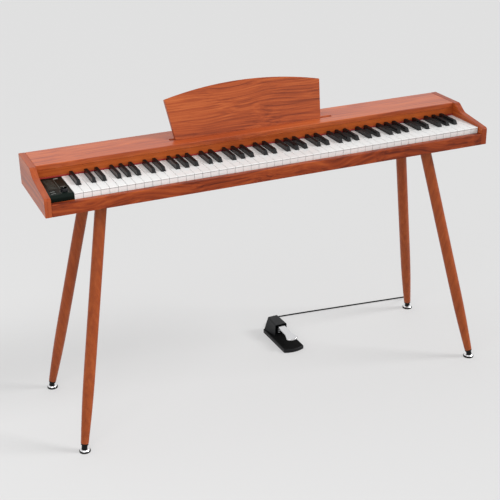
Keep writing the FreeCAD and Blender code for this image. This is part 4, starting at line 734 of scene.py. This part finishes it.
bmesh.ops.spin(coil, geom=coil.edges[:], cent=SPRING_MIDDLE, axis=(0, 0, 1), dvec=(0, 0, rise),
               angle=math.tau * SPRING_TURNS, steps=SPRING_STEPS, use_merge=False)
bmesh.ops.holes_fill(coil, edges=[e for e in coil.edges if e.is_boundary])
bmesh.ops.recalc_face_normals(coil, faces=coil.faces)
spring = finished("return_spring_coil", coil, bright_steel, "case", "steel", "pedal_spring")
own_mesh(spring)

# The pedal's cord is round and black, 1.3 m long as far as it shows and on up the leg.
# It leaves the sleeve at the pedal's back, crosses the floor, is clipped behind the
# right back leg and plugs in under the case.
CORD_ROUTE = [
    (0.136577, 0.220497, 0.012), (0.135964, 0.242488, 0.012), (0.145, 0.2675, 0.003),
    (0.172, 0.2855, 0.0026), (0.205, 0.2877, 0.0026), (0.648, 0.2351, 0.0026),
    (0.6575, 0.2215, 0.009), (0.62698, 0.17531, 0.0478), (0.59796, 0.15308, 0.200),
    (0.5211, 0.0855, 0.5855), (0.492, 0.0865, 0.608), (0.459, 0.082, 0.610),
    (0.444, 0.0795, 0.630), (0.444, 0.0795, 0.6537),
]
CORD_DIAMETER = 0.0045
line = bpy.data.curves.new("pedal_cord_line", "CURVE")
line.dimensions = "3D"
line.bevel_depth = CORD_DIAMETER / 2
line.bevel_resolution = 3
line.resolution_u = 8
line.use_fill_caps = True
spline = line.splines.new("NURBS")
spline.points.add(len(CORD_ROUTE) - 1)
for point, place in zip(spline.points, CORD_ROUTE):
    point.co = (*place, 1)
spline.order_u = 3
spline.use_endpoint_u = True
cord = bpy.data.objects.new("pedal_cord_line", line)
scene.collection.objects.link(cord)
cord_rubber = grained("cord_rubber", (0.003, 0.003, 0.003, 1), 0.6, (900, 0.15, 0.0003),
                      (0.5, 0.7), shine=0.05)
line.materials.append(cord_rubber)
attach(cord, "case")
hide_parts("pedal_cord")

# Tapered, grooved rubber sleeves hold the cord where it leaves the pedal and the plug, and
# bend a little with it. The plug's grip is moulded over a nickelled jack.
SLEEVE_LONG = 0.020
SLEEVE_STEPS = 20
SLEEVE_SIDES = 24
SLEEVE_GROOVE = 0.00035
SLEEVE_SUNK = 0.0005
SLEEVE_END_RADIUS = 0.0029
NICKEL = (0.62, 0.60, 0.56, 1)
GRIP_BLACK = (0.008, 0.008, 0.009, 1)
PLUG_GRIP_TOP = 0.6877


def sleeve_on_cord(name, root, away, start, drift):
    """A tapered sleeve from a root along the cord; the drift is sideways per length squared."""
    shape = bmesh.new()
    bmesh.ops.create_circle(shape, cap_ends=True, segments=SLEEVE_SIDES, radius=start)
    skin = shape.faces[:]
    for step in range(1, SLEEVE_STEPS + 1):
        grown = bmesh.ops.extrude_face_region(shape, geom=skin)
        skin = [part for part in grown["geom"] if isinstance(part, bmesh.types.BMFace)]
        ring = [part for part in grown["geom"] if isinstance(part, bmesh.types.BMVert)]
        along = step / SLEEVE_STEPS
        radius = start + (SLEEVE_END_RADIUS - start) * along
        if step % 4 > 1 and step < SLEEVE_STEPS - 2:
            radius -= SLEEVE_GROOVE
        for corner in ring:
            flat = Vector((corner.co.x, corner.co.y, 0)).normalized() * radius
            corner.co = (flat.x, flat.y, along * SLEEVE_LONG)
    turn = away.to_track_quat("Z", "Y").to_matrix()
    bmesh.ops.recalc_face_normals(shape, faces=shape.faces)
    for corner in shape.verts:
        reach = corner.co.z
        corner.co = turn @ corner.co + root + Vector(drift) * reach * reach
    return finished(name, shape, cord_rubber, "case", "rubber")


exit_step = Vector(CORD_ROUTE[1]) - Vector(CORD_ROUTE[0])
pedal_root = Vector(CORD_ROUTE[0]) - exit_step.normalized() * SLEEVE_SUNK
sleeve_on_cord("pedal_cord_sleeve", pedal_root, exit_step, start=0.0041, drift=(3.1, 0, -2.87))
plug_sleeve = sleeve_on_cord("plug_cord_sleeve", Vector(CORD_ROUTE[-1]), Vector((0, 0, -1)),
                             start=0.0045, drift=(4.25, 0.7, 0))
nickelled, tree, shader = plastic_like("plug_black_and_nickel", NICKEL, 0.3)
fine_grain(tree, shader, 900, 0.15, 0.0003, 0.24, 0.42)
metal_above(tree, shader, PLUG_GRIP_TOP, GRIP_BLACK, NICKEL)
dressed("jack_plug", nickelled)
